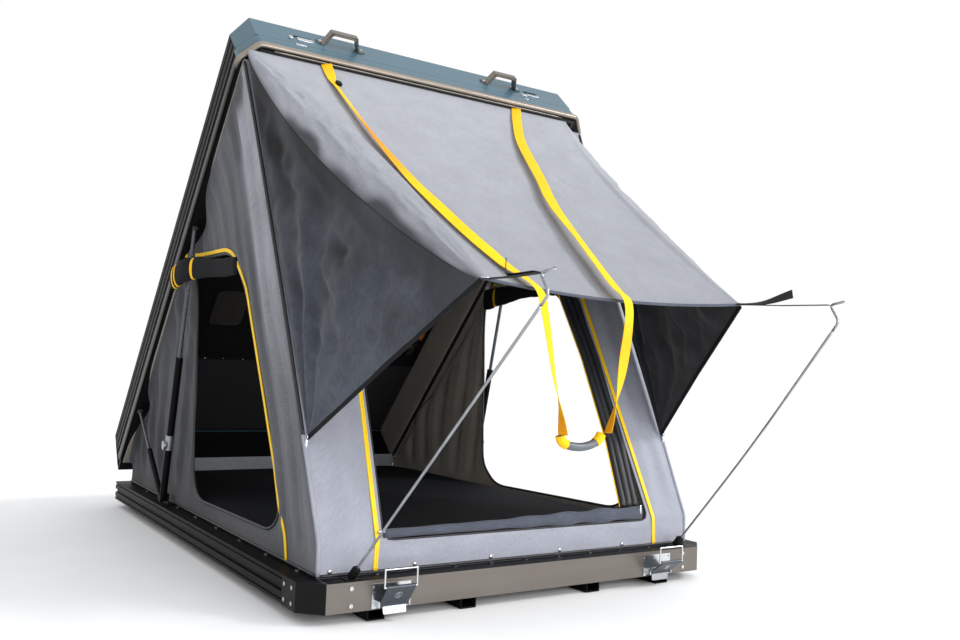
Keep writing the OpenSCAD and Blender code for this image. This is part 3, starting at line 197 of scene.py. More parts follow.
# Woven polyester webbing: ribs about 3 mm apart and weft picks about 2.5 mm apart, drawn at 6 to 7 mm and
# 4 mm so that they show
# Its fade to orange is painted shade where a strap turns away from the light
webbing_yellow = finish("webbing_yellow", "#e0a000", "#f2c200", rough=0.66, grain=(3, 12, 6), relief=0.0008,
                        coords="UV", weave=(7, 4, 0.35), fade=("shade", "#d98000"), Specular_IOR_Level=0.3)
webbing_black = finish("webbing_black", "#0f1012", "#25262a", rough=0.7, grain=(3, 12, 6), relief=0.0008,
                       coords="UV", weave=(6, 4, 0.35), Specular_IOR_Level=0.3)
# Nylon coil zip on dyed tape: teeth about 3 mm apart, drawn at 6 mm
zip_yellow = finish("zip_yellow", "#d79a00", "#ffd400", rough=0.5, grain=(2, 6, 4), relief=0.0012,
                    coords="UV", weave=(12, 6, 0.5), Specular_IOR_Level=0.4)
# Coated piping and bound edges: smooth, slightly shiny black
piping_black = finish("piping_black", "#0b0c0e", "#1b1c20", rough=0.45, grain=(3, 3, 3), relief=0.0004)
# Powder coat on sheet aluminium: fine orange peel, about 2 mm, under a clear skin
coat_teal = finish("powder_coat_teal", "#305160", "#3b5d6c", rough=0.42, grain=(2, 2, 2), relief=0.0002,
                   spread=0.06, Coat_Weight=0.25, Coat_Roughness=0.25)
# Black anodised extrusion: die lines along the bar
extrusion_black = finish("anodised_black", "#060607", "#0e0e10", rough=0.46, grain=(1.2, 220, 1.2),
                         relief=0.0001, spread=0.08, Specular_IOR_Level=0.07)
# Black powder coat on steel plate: dull, with a fine grain
plate_black = finish("powder_coat_black", "#09090a", "#141416", rough=0.48, grain=(2, 2, 2), relief=0.0002,
                     Specular_IOR_Level=0.12)
# Smoke anodised aluminium: satin and even, with faint long clouds
beam_smoke = finish("anodised_smoke", "#66605b", "#706a65", rough=0.34, grain=(900, 30, 30), relief=0.0,
                    spread=0.04, Metallic=0.55)
# Mill finish aluminium strip: warm in tone and satin, black where it runs along the lid's sides
bead_alloy = finish("alloy_strip", "#82796f", "#9c9289", rough=0.32, grain=(200, 60, 60), relief=0.0,
                    spread=0.05, fade=("shade", "#0c0c0d"), Metallic=0.6, Specular_IOR_Level=0.1)
# Dark painted alloy: nearly black, with faint lines along the bar
frame_alloy = finish("alloy_frame_dark", "#0f0e0e", "#1b1a19", rough=0.5, grain=(2, 200, 2), relief=0.0001,
                     Specular_IOR_Level=0.08)
# Pressed stainless steel: bright, with fine rolling marks
steel_bright = finish("stainless_pressed", "#b5b8bc", "#e2e4e6", rough=0.2, grain=(18, 2, 2), relief=0.00008,
                      Metallic=1.0)
# Dark plated steel of the levers: grey, with soft upright streaks
steel_dark = finish("steel_lever", "#3d4148", "#565b63", rough=0.36, grain=(3, 3, 14), relief=0.0001,
                    Metallic=0.75)
# Drawn steel rod: bright, with long streaks
steel_rod = finish("steel_rod", "#7d8084", "#b0b3b7", rough=0.22, grain=(2, 60, 60), relief=0.00006,
                   Metallic=1.0)
# Brushed gunmetal: warm grey, with fine strokes across the lid
gunmetal = finish("brushed_gunmetal", "#5f5b56", "#8b867f", rough=0.3, grain=(40, 2, 2), relief=0.00008,
                  Metallic=0.9)
# Ground strut rods: mid grey and smooth, with streaks along them
strut_grey = finish("strut_rod_grey", "#45474b", "#5f6267", rough=0.28, grain=(2, 2, 120), relief=0.00006,
                    Metallic=0.7)
# Mill finish aluminium: pale satin, with die lines along the bar
alloy_plain = finish("alloy_mill", "#8f9398", "#adb1b6", rough=0.4, grain=(3, 160, 3), relief=0.0001,
                     Metallic=0.9)
# Moulded nylon pull tag: even orange with a soft shine
nylon_orange = finish("nylon_orange", "#d26a00", "#ef8a10", rough=0.5, grain=(4, 4, 4), relief=0.0002)
# EPDM rubber: dead black and slightly rough
rubber = finish("rubber_black", "#0c0c0d", "#1a1a1b", rough=0.65, grain=(2, 2, 2), relief=0.0003)
# Moulded grip tube: smooth dark grey under a thin gloss
grip_grey = finish("grip_tube_grey", "#3f4248", "#5c6067", rough=0.4, grain=(4, 4, 4), relief=0.0003,
                   Coat_Weight=0.15, Coat_Roughness=0.3)
# Plywood floor: dull brown, streaked along its length
floor_board = finish("floor_board", "#55504a", "#6f6960", rough=0.6, grain=(3, 60, 3), relief=0.0002)
# Studio floor: plain and pale
floor_pale = finish("studio_floor", "#f1f2f4", "#f7f8f9", rough=0.75, grain=(400, 400, 400), spread=0.03)


# Shapes

def lattice(a, b, seed):
    """Smooth noise from -1 to 1 with cells of size one: seeded values on a lattice's corners, joined by the
    curve 6t^5 - 15t^4 + 10t^3."""
    table = np.random.default_rng(seed).uniform(-1, 1, (64, 64))
    i, j = np.floor(a).astype(int), np.floor(b).astype(int)
    s, t = a - i, b - j
    s, t = (k*k*k*(k*(6*k - 15) + 10) for k in (s, t))
    low = table[i % 64, j % 64]*(1 - s) + table[(i + 1) % 64, j % 64]*s
    high = table[i % 64, (j + 1) % 64]*(1 - s) + table[(i + 1) % 64, (j + 1) % 64]*s
    return low*(1 - t) + high*t


def crease(a, b, seed):
    """Sharp folds: one less twice the size of a smooth noise, so that its zero lines stand up as ridges."""
    return 1 - 2*np.abs(lattice(a, b, seed)) - 0.3


def ease(t):
    """Smooth step from 0 to 1."""
    t = np.clip(t, 0, 1)
    return t*t*(3 - 2*t)


def bell(t, at, width):
    """Bell curve: one at a place, falling to 1/e a width away."""
    return np.exp(-((t - at)/width)**2)


def spline(points, count):
    """Smooth line through points: Catmull-Rom pieces, then count points at equal steps along the whole."""
    p = np.asarray(points, float)
    q = np.vstack([2*p[0] - p[1], p, 2*p[-1] - p[-2]])
    t = np.linspace(0, len(p) - 1 - 1e-9, 60*len(p))
    i = t.astype(int)
    f = (t - i)[:, None]
    a, b, c, d = q[i], q[i + 1], q[i + 2], q[i + 3]
    line = 0.5*(2*b + (c - a)*f + (2*a - 5*b + 4*c - d)*f**2 + (3*b - a - 3*c + d)*f**3)
    return resample(line, count)


def resample(line, count):
    """count points at equal steps along a line of straight pieces."""
    line = np.asarray(line, float)
    far = np.concatenate([[0], np.cumsum(np.linalg.norm(np.diff(line, axis=0), axis=1))])
    at = np.linspace(0, far[-1], count)
    return np.stack([np.interp(at, far, column) for column in line.T], -1)


def rounded(corners, radius, steps=7, closed=True):
    """A flat outline with each corner replaced by a quadratic curve that leaves its sides radius before
    it."""
    p = np.asarray(corners, float)
    back, on = np.roll(p, 1, 0) - p, np.roll(p, -1, 0) - p
    r = np.broadcast_to(radius, len(p))[:, None]
    a = p + unit(back)*np.minimum(r, np.linalg.norm(back, axis=1, keepdims=True)*0.45)
    b = p + unit(on)*np.minimum(r, np.linalg.norm(on, axis=1, keepdims=True)*0.45)
    t = np.linspace(0, 1, steps)[None, :, None]
    curve = (1 - t)**2*a[:, None] + 2*t*(1 - t)*p[:, None] + t*t*b[:, None]
    if not closed:
        curve[0], curve[-1] = p[0], p[-1]
    return curve.reshape(-1, p.shape[1])


def between(inner, outer, centre, rows, count, corners):
    """Rings of flat points from an opening to an outline, along rays from a centre: at each angle the point
    goes from the opening's reach to the outline's. Gives the points and their share of the way out."""
    def reach(line, at):
        d = np.vstack([line, line[:1]]) - centre
        fine = resample(d, 4000)
        angle, far = np.arctan2(fine[:, 1], fine[:, 0]), np.linalg.norm(fine, axis=1)
        order = np.argsort(angle)
        return np.interp(at, angle[order], far[order], period=2*math.pi)
    d = np.asarray(corners) - centre
    keep = np.arctan2(d[:, 1], d[:, 0])
    both = np.vstack([resample(np.vstack([k, k[:1]]), count//2 + 1)[:-1] for k in (inner, outer)]) - centre
    at = np.sort(np.concatenate([np.arctan2(both[:, 1], both[:, 0]), keep]))
    at = at[np.concatenate([[True], np.diff(at) > 1e-4])]
    share = np.linspace(0, 1, rows + 1)[:, None]
    far = reach(inner, at)*(1 - share) + reach(outer, at)*share
    return centre + far[..., None]*np.stack([np.cos(at), np.sin(at)], -1), np.broadcast_to(share, far.shape)


def carry(path, profile, across):
    """A flat profile carried along a path: its x runs along the direction across, made square to the path,
    and its y along path x across."""
    ahead = unit(np.gradient(path, axis=0))
    across = np.broadcast_to(np.asarray(across, float), path.shape)
    side = unit(across - np.sum(across*ahead, -1, keepdims=True)*ahead)
    up = np.cross(ahead, side)
    profile = np.broadcast_to(profile, (len(path), *np.shape(profile)[-2:]))
    return path[:, None] + profile[..., :1]*side[:, None] + profile[..., 1:]*up[:, None]


def oval(half_x, half_y, count=12, power=1.0):
    """A closed profile: (cos^power, sin^power) with signs kept; power below one squares it off."""
    a = np.arange(count)*2*math.pi/count
    c, s = np.cos(a), np.sin(a)
    return np.stack([half_x*np.sign(c)*np.abs(c)**power, half_y*np.sign(s)*np.abs(s)**power], -1)


def mesh_of(name, grids):
    """One mesh from grids of points, each (points, wrap, caps, flip): quads between neighbours, closed across
    if wrap, with flat ends if caps. The UV map holds the distance across and along in metres."""
    verts, faces, maps, start = [], [], [], 0
    for points, wrap, caps, flip in grids:
        n, m = points.shape[:2]
        ring = np.concatenate([points, points[:, :1]], 1) if wrap else points
        k = ring.shape[1]
        along = np.concatenate([[0], np.cumsum(np.linalg.norm(np.diff(ring, axis=0), axis=2).mean(1))])
        over = np.concatenate([[0], np.cumsum(np.linalg.norm(np.diff(ring, axis=1), axis=2).mean(0))])
        uv = np.stack(np.meshgrid(over, along), -1)
        i, j = np.mgrid[0:n - 1, 0:k - 1]
        around = ((i, j), (i, j + 1), (i + 1, j + 1), (i + 1, j))
        c = np.stack([np.stack(q, -1) for q in around], 2).reshape(-1, 4, 2)
        c = c[:, ::-1] if flip else c
        faces += (start + c[..., 0]*m + c[..., 1] % m).tolist()
        maps.append(uv[c[..., 0], c[..., 1]].reshape(-1, 2))
        if caps:
            first, last = np.arange(m), (n - 1)*m + np.arange(m)
            first, last = (first, last[::-1]) if flip else (first[::-1], last)
            faces += [(start + first).tolist(), (start + last).tolist()]
            maps.append(np.zeros((2*m, 2)))
        verts.append(points.reshape(-1, 3))
        start += n*m
    mesh = bpy.data.meshes.new(name)
    mesh.from_pydata(np.vstack(verts), [], faces)
    mesh.uv_layers.new(name="UVMap").data.foreach_set("uv", np.vstack(maps).astype(np.float32).ravel())
    mesh.polygons.foreach_set("use_smooth", np.ones(len(mesh.polygons), bool))
    return mesh


def piece(name, grids, mats, body=None, thick=None, stands_for=(), crisp=None):
    """A finished piece: a mesh at the origin with its finishes. thick gives a sheet its thickness, whose
    inner side takes the second finish; crisp splits the shading at edges sharper than that many degrees."""
    mesh = mesh_of(name, grids)
    mats = mats if isinstance(mats, (list, tuple)) else [mats]
    for m in mats:
        mesh.materials.append(m)
    obj = bpy.data.objects.new(name, mesh)
    scene.collection.objects.link(obj)
    if thick:
        wall = obj.modifiers.new("cloth", "SOLIDIFY")
        wall.thickness, wall.offset, wall.material_offset = thick, 0.0, len(mats) - 1
    if crisp:
        mesh.set_sharp_from_angle(angle=crisp*DEG)
    if stands_for:
        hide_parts(*stands_for)
    if body:
        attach(obj, body)
    return obj


def swept(path, profile, across, caps=True):
    """Grid of a closed profile carried along a path, as mesh_of takes it."""
    return carry(path, profile, across), True, caps, False


def tube(path, radius, across, count=10):
    """Round bar along a path."""
    return swept(path, oval(radius, radius, count), across)


def hoop(centre, radius, first, second, thick=0.0016):
    """Wire ring about a centre in the plane of two directions."""
    a = np.linspace(0, 2*math.pi, 33)[:, None]
    path = np.asarray(centre) + radius*(np.cos(a)*unit(first) + np.sin(a)*unit(second))
    return tube(path, thick, np.cross(unit(first), unit(second)), 8)


def band(path, width, thick, normal):
    """Flat strap along a path that lies with its face to a normal: a squared oval, width across, thick
    high."""
    across = np.cross(np.gradient(path, axis=0), np.broadcast_to(np.asarray(normal, float), path.shape))
    return swept(path, oval(width/2, thick/2, 14, 0.45), across)


def block(centre, half, axes=None, square=0.35, count=16):
    """Rounded block or button: a superellipsoid, half sizes along three axes, cos and sin to the power
    square."""
    v = np.linspace(-math.pi/2, math.pi/2, count//2 + 1)[:, None]
    h = np.arange(count)[None]*2*math.pi/count
    def power(c):
        return np.sign(c)*np.abs(c)**square
    p = np.stack(np.broadcast_arrays(power(np.cos(v))*power(np.cos(h)), power(np.cos(v))*power(np.sin(h)),
                                     power(np.sin(v))), -1)
    axes = np.eye(3) if axes is None else unit(axes)
    return np.asarray(centre, float) + (p*np.asarray(half, float)) @ axes, True, True, False


LID_AXES = np.array([[1, 0, 0], [0, -CO, SO], [0, SO, CO]])


# Cloth of the walls

SIDE_FLARE, SEAM_REACH = 0.043, 0.32
KINK_Z = 0.195
# Where the struts join the lid, along its rim from the hinge
LONG_END, SHORT_END = 1.36, 0.40
# Folds of the side walls: spacing and depth along the front seam and behind the door, and small waves
LEAN_STEP, LEAN_DEEP, UPRIGHT_STEP, UPRIGHT_DEEP, SMALL_DEEP = 0.115, 0.0150, 0.14, 0.0110, 0.0020
# Folds down the legs of the front wall, and the wavy strip below the entrance
LEG_STEP, LEG_DEEP, SILL_HIGH, SILL_DEEP = 0.085, 0.007, 0.085, 0.003
REAR_HALF, REAR_Y, REAR_LEAN, REAR_HIGH, REAR_DEEP = 0.640, 1.039, 0.0205, 0.1005, 0.004


def front_at(z):
    """y of the front wall at height z: upright past the upstand, then leaning in to the lid."""
    slope = (FRONT_HIGH[0] - FRONT_LOW)/(FRONT_HIGH[1] - KINK_Z)
    return FRONT_LOW + slope*np.maximum(0, z - KINK_Z)


def side_x(y, z):
    """Distance of a side wall from the middle: it stands over the upstand at the hem and flares out to the
    lid's lip, evenly along the front seam and only close under the lip further back, but for the two strut
    ends."""
    share = np.clip((z - HEM_Z)/np.maximum(HINGE_Z + (HINGE_Y - y)*SO/CO - HEM_Z, 0.03), 0, 1)
    along = (HINGE_Y - y)*CO + (z - HINGE_Z)*SO
    front = bell(y, front_at(z), SEAM_REACH)
    clear = 1 - 0.95*bell(along, LONG_END, 0.11) - 0.95*bell(along, SHORT_END, 0.09)
    return WALL_X + SIDE_FLARE*(front*share**1.2 + (1 - front)*clear*share**12)


DOOR = np.array([(0.175, 1.015), (-0.225, 1.005), (-0.365, 0.905), (-0.755, 0.24), (-0.68, 0.172),
                 (0.03, 0.165), (0.105, 0.235), (0.165, 0.905)])
DOOR_MID, ENTRANCE_MID = np.array([-0.17, 0.52]), np.array([0.0, 0.8])
DOOR_ROUND = np.array([0.03, 0.09, 0.09, 0.06, 0.06, 0.07, 0.07, 0.03])
# The right door's rear edge is tied further back
DOOR_BACK = np.array([(0.07, 0), (0, 0), (0, 0), (0, 0), (0, 0), (0.06, -0.004), (0.09, 0), (0.07, 0)])
DOOR_LINE = {-1: rounded(DOOR, DOOR_ROUND), 1: rounded(DOOR + DOOR_BACK, DOOR_ROUND)}
SIDE_LINE = np.array([(1.039, HEM_Z), (1.029, 0.155), (1.0127, 0.2004), FRONT_HIGH, (-1.010, KINK_Z),
                      (-1.010, HEM_Z)])
ZIP_SIDE = rounded([(0.29, 1.031), (-0.215, 1.020), (-0.375, 0.905), (-0.790, 0.180), (-0.806, 0.112)],
                   [0, 0.10, 0.10, 0.03, 0], closed=False)


def side_folds(y, z):
    """How far a side wall bellies out: long soft folds that lean with the front seam, fading to the rear, and
    upright folds behind the door, each a raised sine whose phase wanders with a smooth noise."""
    behind = y - front_at(z)
    wander = lattice(y*3 + 7, z*2.2, 5)
    lean = np.clip(np.sin(behind*2*math.pi/LEAN_STEP + 1.9*wander + 0.7), -0.2, 1)*np.exp(-behind/0.6)
    upright = np.clip(np.sin((y + 0.12*z)*2*math.pi/UPRIGHT_STEP + 2.2*wander), -0.3, 1)*ease((y - 0.02)/0.2)
    small = lattice(y*11, z*5 + 3, 9)
    return LEAN_DEEP*lean + UPRIGHT_DEEP*upright + SMALL_DEEP*small + SMALL_DEEP


def off_hem(z):
    """How far the folds have grown above the hem, from 0 to 1."""
    return ease((z - 0.14)/0.12)


def side_shade(y, z):
    """Painted shade on a side wall: a pale strip along the front seam, up to 0.18 m wide and narrowing to the
    top, then more painted shade, most at the rear."""
    behind = y - front_at(z)
    strip = np.clip((1.62 - z)*0.5, 0.03, 0.18)
    near, far = 0.60*ease((1.05 - z)/0.6), 0.78 + 0.15*ease((behind - 0.5)/0.5)
    return np.clip(near + (far - near)*ease((behind/strip - 0.75)/0.5) + 0.10*lattice(y*8, z*3, 6), 0, 1)


def side_wall(name, sign, node):
    """Side wall: rings from the door's opening out to the hem, the lid's lip and the front corner, bellied
    out by the folds, which die away at the outer edges."""
    flat, share = between(DOOR_LINE[sign], SIDE_LINE, DOOR_MID, 60, 520, SIDE_LINE)
    y, z = flat[..., 0], flat[..., 1]
    loose = ease((1 - share)/0.14)*(0.35 + 0.65*ease(share/0.1))*off_hem(z)
    x = sign*(side_x(y, z) + np.maximum(side_folds(y, z)*loose, -0.001))
    points = np.stack([x, y, z], -1)
    made = piece(name, [(points, True, False, sign > 0)], [canvas_side, canvas_inner_painted_bounce], "base", CLOTH, (node,))
    # Painted shade: pale along the front seam, darker towards the rear
    shade_of(made, side_shade(y, z))
    return made


def on_side(line, sign, lift):
    """A line drawn on a side wall as (y, z), lifted off the cloth."""
    y, z = line[:, 0], line[:, 1]
    lift = lift + np.maximum(side_folds(y, z), 0)*0.35*off_hem(z)
    return np.stack([sign*(side_x(y, z) + lift), y, z], -1)


FRONT_OPEN = rounded([(-0.462, 0.190), (0.482, 0.190), (0.415, 1.470), (-0.405, 1.470)],
                     [0.03, 0.03, 0.06, 0.06])
FRONT_TOP_X = WALL_X + SIDE_FLARE - 0.002
FRONT_LINE = np.array([(-WALL_X + 0.001, HEM_Z), (WALL_X - 0.001, HEM_Z), (WALL_X, KINK_Z),
                       (FRONT_TOP_X, FRONT_HIGH[1]), (-FRONT_TOP_X, FRONT_HIGH[1]), (-WALL_X, KINK_Z)])
FRONT_OUT = unit(np.array([0, -(FRONT_HIGH[1] - KINK_Z), FRONT_HIGH[0] - FRONT_LOW]))


def on_front(line, lift):
    """A line drawn on the front wall as (x, z), lifted square to the cloth."""
    x, z = np.asarray(line)[:, 0], np.asarray(line)[:, 1]
    return np.stack([x, front_at(z), z], -1) + lift*FRONT_OUT


def front_wall():
    """Front wall: rings from the entrance out to the hem, the corner seams and the lid, with long folds down
    the legs that stand out from the cloth."""
    flat, share = between(FRONT_OPEN, FRONT_LINE, ENTRANCE_MID, 30, 560, FRONT_LINE)
    x, z = flat[..., 0], flat[..., 1]
    loose = ease((1 - share)/0.25)*(0.4 + 0.6*ease(share/0.2))*ease((z - 0.16)/0.2)
    fold = 0.5 + 0.5*np.sin(x*2*math.pi/LEG_STEP + 2*lattice(x*4, z*2.5, 21))
    sill = SILL_DEEP*np.sin(math.pi*np.clip((z - HEM_Z)/SILL_HIGH, 0, 1))*(1 + lattice(x*7, z*20, 24))
    out = loose*(LEG_DEEP*fold + 0.003*lattice(x*9, z*4, 22)) + sill
    points = np.stack([x, front_at(z), z], -1) + out[..., None]*FRONT_OUT
    return piece("front_wall_cloth", [(points, True, False, True)], [canvas_front, canvas_inner_painted_bounce], "base",
                 CLOTH, ("front_wall",))


def rear_wall():
    """Rear wall: a low strip of cloth from the hem up to the hinge, with shallow folds."""
    x = np.linspace(-REAR_HALF, REAR_HALF, 120)[None]
    t = np.linspace(0, 1, 9)[:, None]
    y = REAR_Y - REAR_LEAN*t - REAR_DEEP*np.sin(math.pi*t)*(0.5 + 0.5*lattice(x*9, t*2, 31))
    points = np.stack(np.broadcast_arrays(x, y, HEM_Z + REAR_HIGH*t), -1)
    made = piece("rear_wall_cloth", [(points, False, False, True)], [canvas_side, canvas_strip], "base",
                 CLOTH, ("rear_wall",))
    # Painted shade, as dark as the rear of the side walls
    shade_of(made, np.full(points.shape[:2], 0.85))
    return made


# Awning, wings and webbing

AWN_TOP, AWN_EDGE = (-0.3738, 1.6377), (-1.412, 0.860)
AWN_LEFT, AWN_RIGHT, AWN_TIP, AWN_SAG = 0.680, 0.604, 0.441, 0.022
AWN_UP = unit(np.array([0, AWN_EDGE[1] - AWN_TOP[1], AWN_TOP[0] - AWN_EDGE[0]]))
WING_TIP_X, WING_TIP_Z = 0.640, 0.452
# Depths of the folds: crumpled edge, pulls in the sheet, and the wings' fan, hollow and wrinkles
CRUMPLE_DEEP, PULL_DEEP, FAN_DEEP, HOLLOW_DEEP, WRINKLE_DEEP = 0.0085, 0.0024, 0.012, 0.018, 0.0105
EDGE_COLUMNS, WEB_THICK = 26, 0.0024


def awn(x, b, slack=1.0):
    """Awning: b runs from the lid to the front edge, along which the half width falls; the middle sags by
    slack."""
    x, b = np.broadcast_arrays(np.asarray(x, float), np.asarray(b, float))
    middle, half = (AWN_RIGHT - AWN_LEFT)/2*(1 - b), (AWN_RIGHT + AWN_LEFT)/2*(1 - b) + AWN_TIP*b
    free = slack*(1 - ((x - middle)/half)**2)
    return np.stack([x, AWN_TOP[0] + (AWN_EDGE[0] - AWN_TOP[0])*b + free*0.011*b,
                     AWN_TOP[1] + (AWN_EDGE[1] - AWN_TOP[1])*b
                     - free*(AWN_SAG*b + 0.014*np.sin(math.pi*b))], -1)


def awning_edge(sign, b):
    """Edge of the awning at b, with the directions along the sheet and down the wing, square to the edge, and
    how far the cloth turns over it: most in the middle and least at the ends."""
    top = AWN_RIGHT if sign > 0 else AWN_LEFT
    lid_end, corner = awn(sign*top, 0), awn(sign*AWN_TIP, 1)
    tip = np.array([sign*WING_TIP_X, front_at(WING_TIP_Z) - 0.010, WING_TIP_Z])
    along = unit(corner - lid_end)
    inward = np.array([-sign, 0.0, 0.0]) + along*sign*along[0]
    down = tip - lid_end - along*np.dot(tip - lid_end, along)
    turn = 0.008 + 0.090*np.sin(math.pi*np.clip(b, 0, 1))**0.7
    return awn(sign*(top + (AWN_TIP - top)*b), b), unit(inward), unit(down), turn*(1 - 0.25*b), tip


def crumple(b, c, seed):
    """Crumpled cloth: two sizes of sharp folds."""
    return 0.7*crease(b*9, c*3, seed) + 0.4*crease(b*21, c*5, seed + 1)


def turned_edge(sign, b):
    """Columns that carry the awning over its edge: quadratic curves from the sheet, past the edge, down the
    wing, crumpled on the way."""
    on, inward, down, turn, tip = awning_edge(sign, b)
    t = np.linspace(0, 1, EDGE_COLUMNS)[None, :, None]
    r = turn[:, None, None]
    rows = on[:, None] + (1 - t)**2*r*inward + t*t*r*down
    normal = unit(down*-0.5 - inward)
    lift = crumple(b[:, None], t[..., 0], 44)*np.sin(math.pi*t[..., 0])*np.sin(math.pi*b[:, None])**0.5
    return rows + (CRUMPLE_DEEP*lift*np.clip(turn[:, None]/0.06, 0, 1))[..., None]*normal


def shade_of(obj, amount):
    """Keeps a value for each point as the attribute shade: painted shade on the walls, awning, wings and
    straps, and the own tone of the lid's bead and lining.
    """
    obj.data.attributes.new("shade", "FLOAT", "POINT").data.foreach_set("value", np.ravel(amount))


def awning():
    """Awning sheet: the flat part with shallow pulls from its corners, and a turned edge on each side.
    Painted shade darkens the turned edges on their way round and the sheet towards its front edge."""
    b = np.linspace(0, 1, 150)
    left, right = turned_edge(-1, b), turned_edge(1, b)
    a = np.linspace(0, 1, 96)[1:-1]
    x = left[:, :1, 0]*(1 - a) + right[:, :1, 0]*a
    pulls = np.sin((a*6.2 + b[:, None]*1.2)*math.pi + lattice(a*6, b[:, None]*3, 42)*1.5)
    lift = PULL_DEEP*pulls*np.sin(math.pi*a)*np.sin(math.pi*b)[:, None]
    lift = lift + 0.0012*lattice(a*22, b[:, None]*14, 43)
    lift = lift*ease(b/0.05)[:, None]*ease((1 - b)/0.03)[:, None]*ease(a/0.06)*ease((1 - a)/0.06)
    middle = awn(x, b[:, None]) + lift[..., None]*AWN_UP
    points = np.concatenate([left[:, ::-1], middle, right], 1)
    made = piece("awning_cloth", [(points, False, False, True)], [canvas_awning_painted_shade, canvas_flap], "lid", CLOTH,
                 ("awning",))
    # Painted shade: the turned edges darken on their way round, the sheet darkens towards its front edge
    t = np.linspace(0, 1, EDGE_COLUMNS)[None]
    dark = ease((t - 0.66 - 0.2*lattice(b[:, None]*13, t*2, 45))/0.34)
    low = 0.34*b[:, None]
    dark = low + (1 - low)*dark
    shade_of(made, np.concatenate([dark[:, ::-1], low + 0*a, dark], 1))
    return made


def wing(sign):
    """Side wing of the awning: from the turned edge down to the tip on the corner seam, with folds that fan
    out from the tip, fine wrinkles and a hollow under the edge, darkened by painted shade."""
    b = np.linspace(0, 1, 170)
    on, inward, down, turn, tip = awning_edge(sign, b)
    start = on + turn[:, None]*down
    s = np.linspace(0, 1, 120)[None, :, None]
    points = start[:, None]*(1 - s) + tip*s
    normal = np.cross(unit(on[-1] - on[0]), down)
    normal = normal*np.sign(normal[0]*sign)
    bb, ss = b[:, None], s[..., 0]
    spread = np.linalg.norm(points - tip, axis=-1)
    fan = np.sin(bb*2*math.pi*3.2 + 2.2*lattice(bb*4 + 0*ss, ss*3, 51))*np.sin(math.pi*bb)*ss*(1 - ss)*4
    hollow = -bell(ss, 0.16, 0.12)*np.sin(math.pi*bb)
    along, below = points @ unit(on[-1] - on[0]), points @ down
    fine = (0.8*lattice(along*8 + below*6, below*17, 53) + 0.6*crease(along*9 - below*5, below*17, 52)
            + 0.3*lattice(along*30, below*34, 55))*(0.40 + 0.60*bell(ss, 0, 0.6))
    fine = fine*np.clip(ss*(1 - ss)*6, 0, 1)*np.clip(np.sin(math.pi*bb)*3, 0, 1)*np.clip(spread/0.3, 0, 1)
    points = points + (FAN_DEEP*fan + HOLLOW_DEEP*hollow + WRINKLE_DEEP*fine)[..., None]*normal
    name = "wing_right" if sign > 0 else "wing_left"
    made = piece(name, [(points[:, :-1], False, False, sign > 0)], [canvas_wing_painted_shade, canvas_flap], "lid", CLOTH)
    # Painted shade under the turned edge and in the folds' valleys, painted highlights on their ridges
    dark = bell(ss, 0, 0.52)*(0.95 + 0.30*lattice(bb*9, ss*6, 54))*(1 - 0.45*bb)
    dark = dark + 0.30*np.clip(-fine, 0, 1) - 0.22*np.clip(fine, 0, 1)
    shade_of(made, np.clip(dark + 0*bb, 0, 1)[:, :-1])
    low = np.stack([start[-1], start[-1]*0.5 + tip*0.5 + np.array([0, 0.003, 0.003]), tip])
    trim = piece(name + "_binding", [band(resample(low, 60), 0.013, 0.0045, normal)], canvas_black, "lid")
    return made, trim, tip


def ribbon(name, line, width, twist, tint, mat, body):
    """Webbing along a line of points with a width, a turn about its own line and painted shade, all given
    along
    it: a squared oval is carried with its flat side to the awning, turned, and lifted by what stands on edge."""
    n = 260
    path = spline(line, n)
    far = np.linspace(0, 1, n)
    wide = np.interp(far, *zip(*width))
    turn = np.interp(far, *zip(*twist))*DEG
    turn = np.convolve(np.pad(turn, 6, "edge"), np.ones(13)/13, "valid")
    ahead = unit(np.gradient(path, axis=0))
    side = unit(np.array([1.0, 0, 0]) - ahead*ahead[:, :1])
    up = np.cross(ahead, side)
    up = up*np.sign(np.sum(up*np.array([0, -0.6, 0.8]), -1, keepdims=True) + 1e-9)
    path = path + up*np.abs(np.sin(turn))[:, None]*wide[:, None]*0.5
    across = side*np.cos(turn)[:, None] + up*np.sin(turn)[:, None]
    profile = oval(0.5, 0.5, 18, 0.4)[None]*np.stack([wide, np.full(n, WEB_THICK)], -1)[:, None]
    made = piece(name, [swept(path, profile, across)], mat, body)
    # Painted shade along the strap
    shade_of(made, np.interp(far, *zip(*tint))[:, None]*np.ones((1, 18)))
    return made, path


# Routes of the pull straps: (x, share of the awning) where they lie on it, (x, z) where they hang. Along
# each strap go its width, its turn in degrees and its painted shade.
HANG_Y, WEB_WIDE = -1.434, 0.038
LEFT = dict(
    flat=[(-0.420, 0.002), (-0.432, 0.067), (-0.443, 0.138), (-0.446, 0.26), (-0.446, 0.438), (-0.430, 0.60),
          (-0.404, 0.742), (-0.373, 0.861), (-0.334, 0.955), (-0.312, 0.992)],
    hang=[(-0.292, 0.835), (-0.279, 0.795), (-0.264, 0.724), (-0.248, 0.640), (-0.231, 0.569),
          (-0.220, 0.498)],
    width=[(0, 0.036), (0.05, 0.034), (0.10, 0.023), (0.27, 0.023), (0.40, 0.035), (1, 0.036)],
    twist=[(0, 22), (0.06, 10), (0.12, -20), (0.30, -22), (0.42, -8), (0.56, 8), (0.70, 8), (0.79, -20),
           (0.91, -40), (0.958, -57), (1, -100)],
    tint=[(0, 0), (0.20, 0), (0.30, 1), (0.42, 0.6), (0.5, 0), (0.96, 0), (0.975, 0.7), (1, 0.7)])
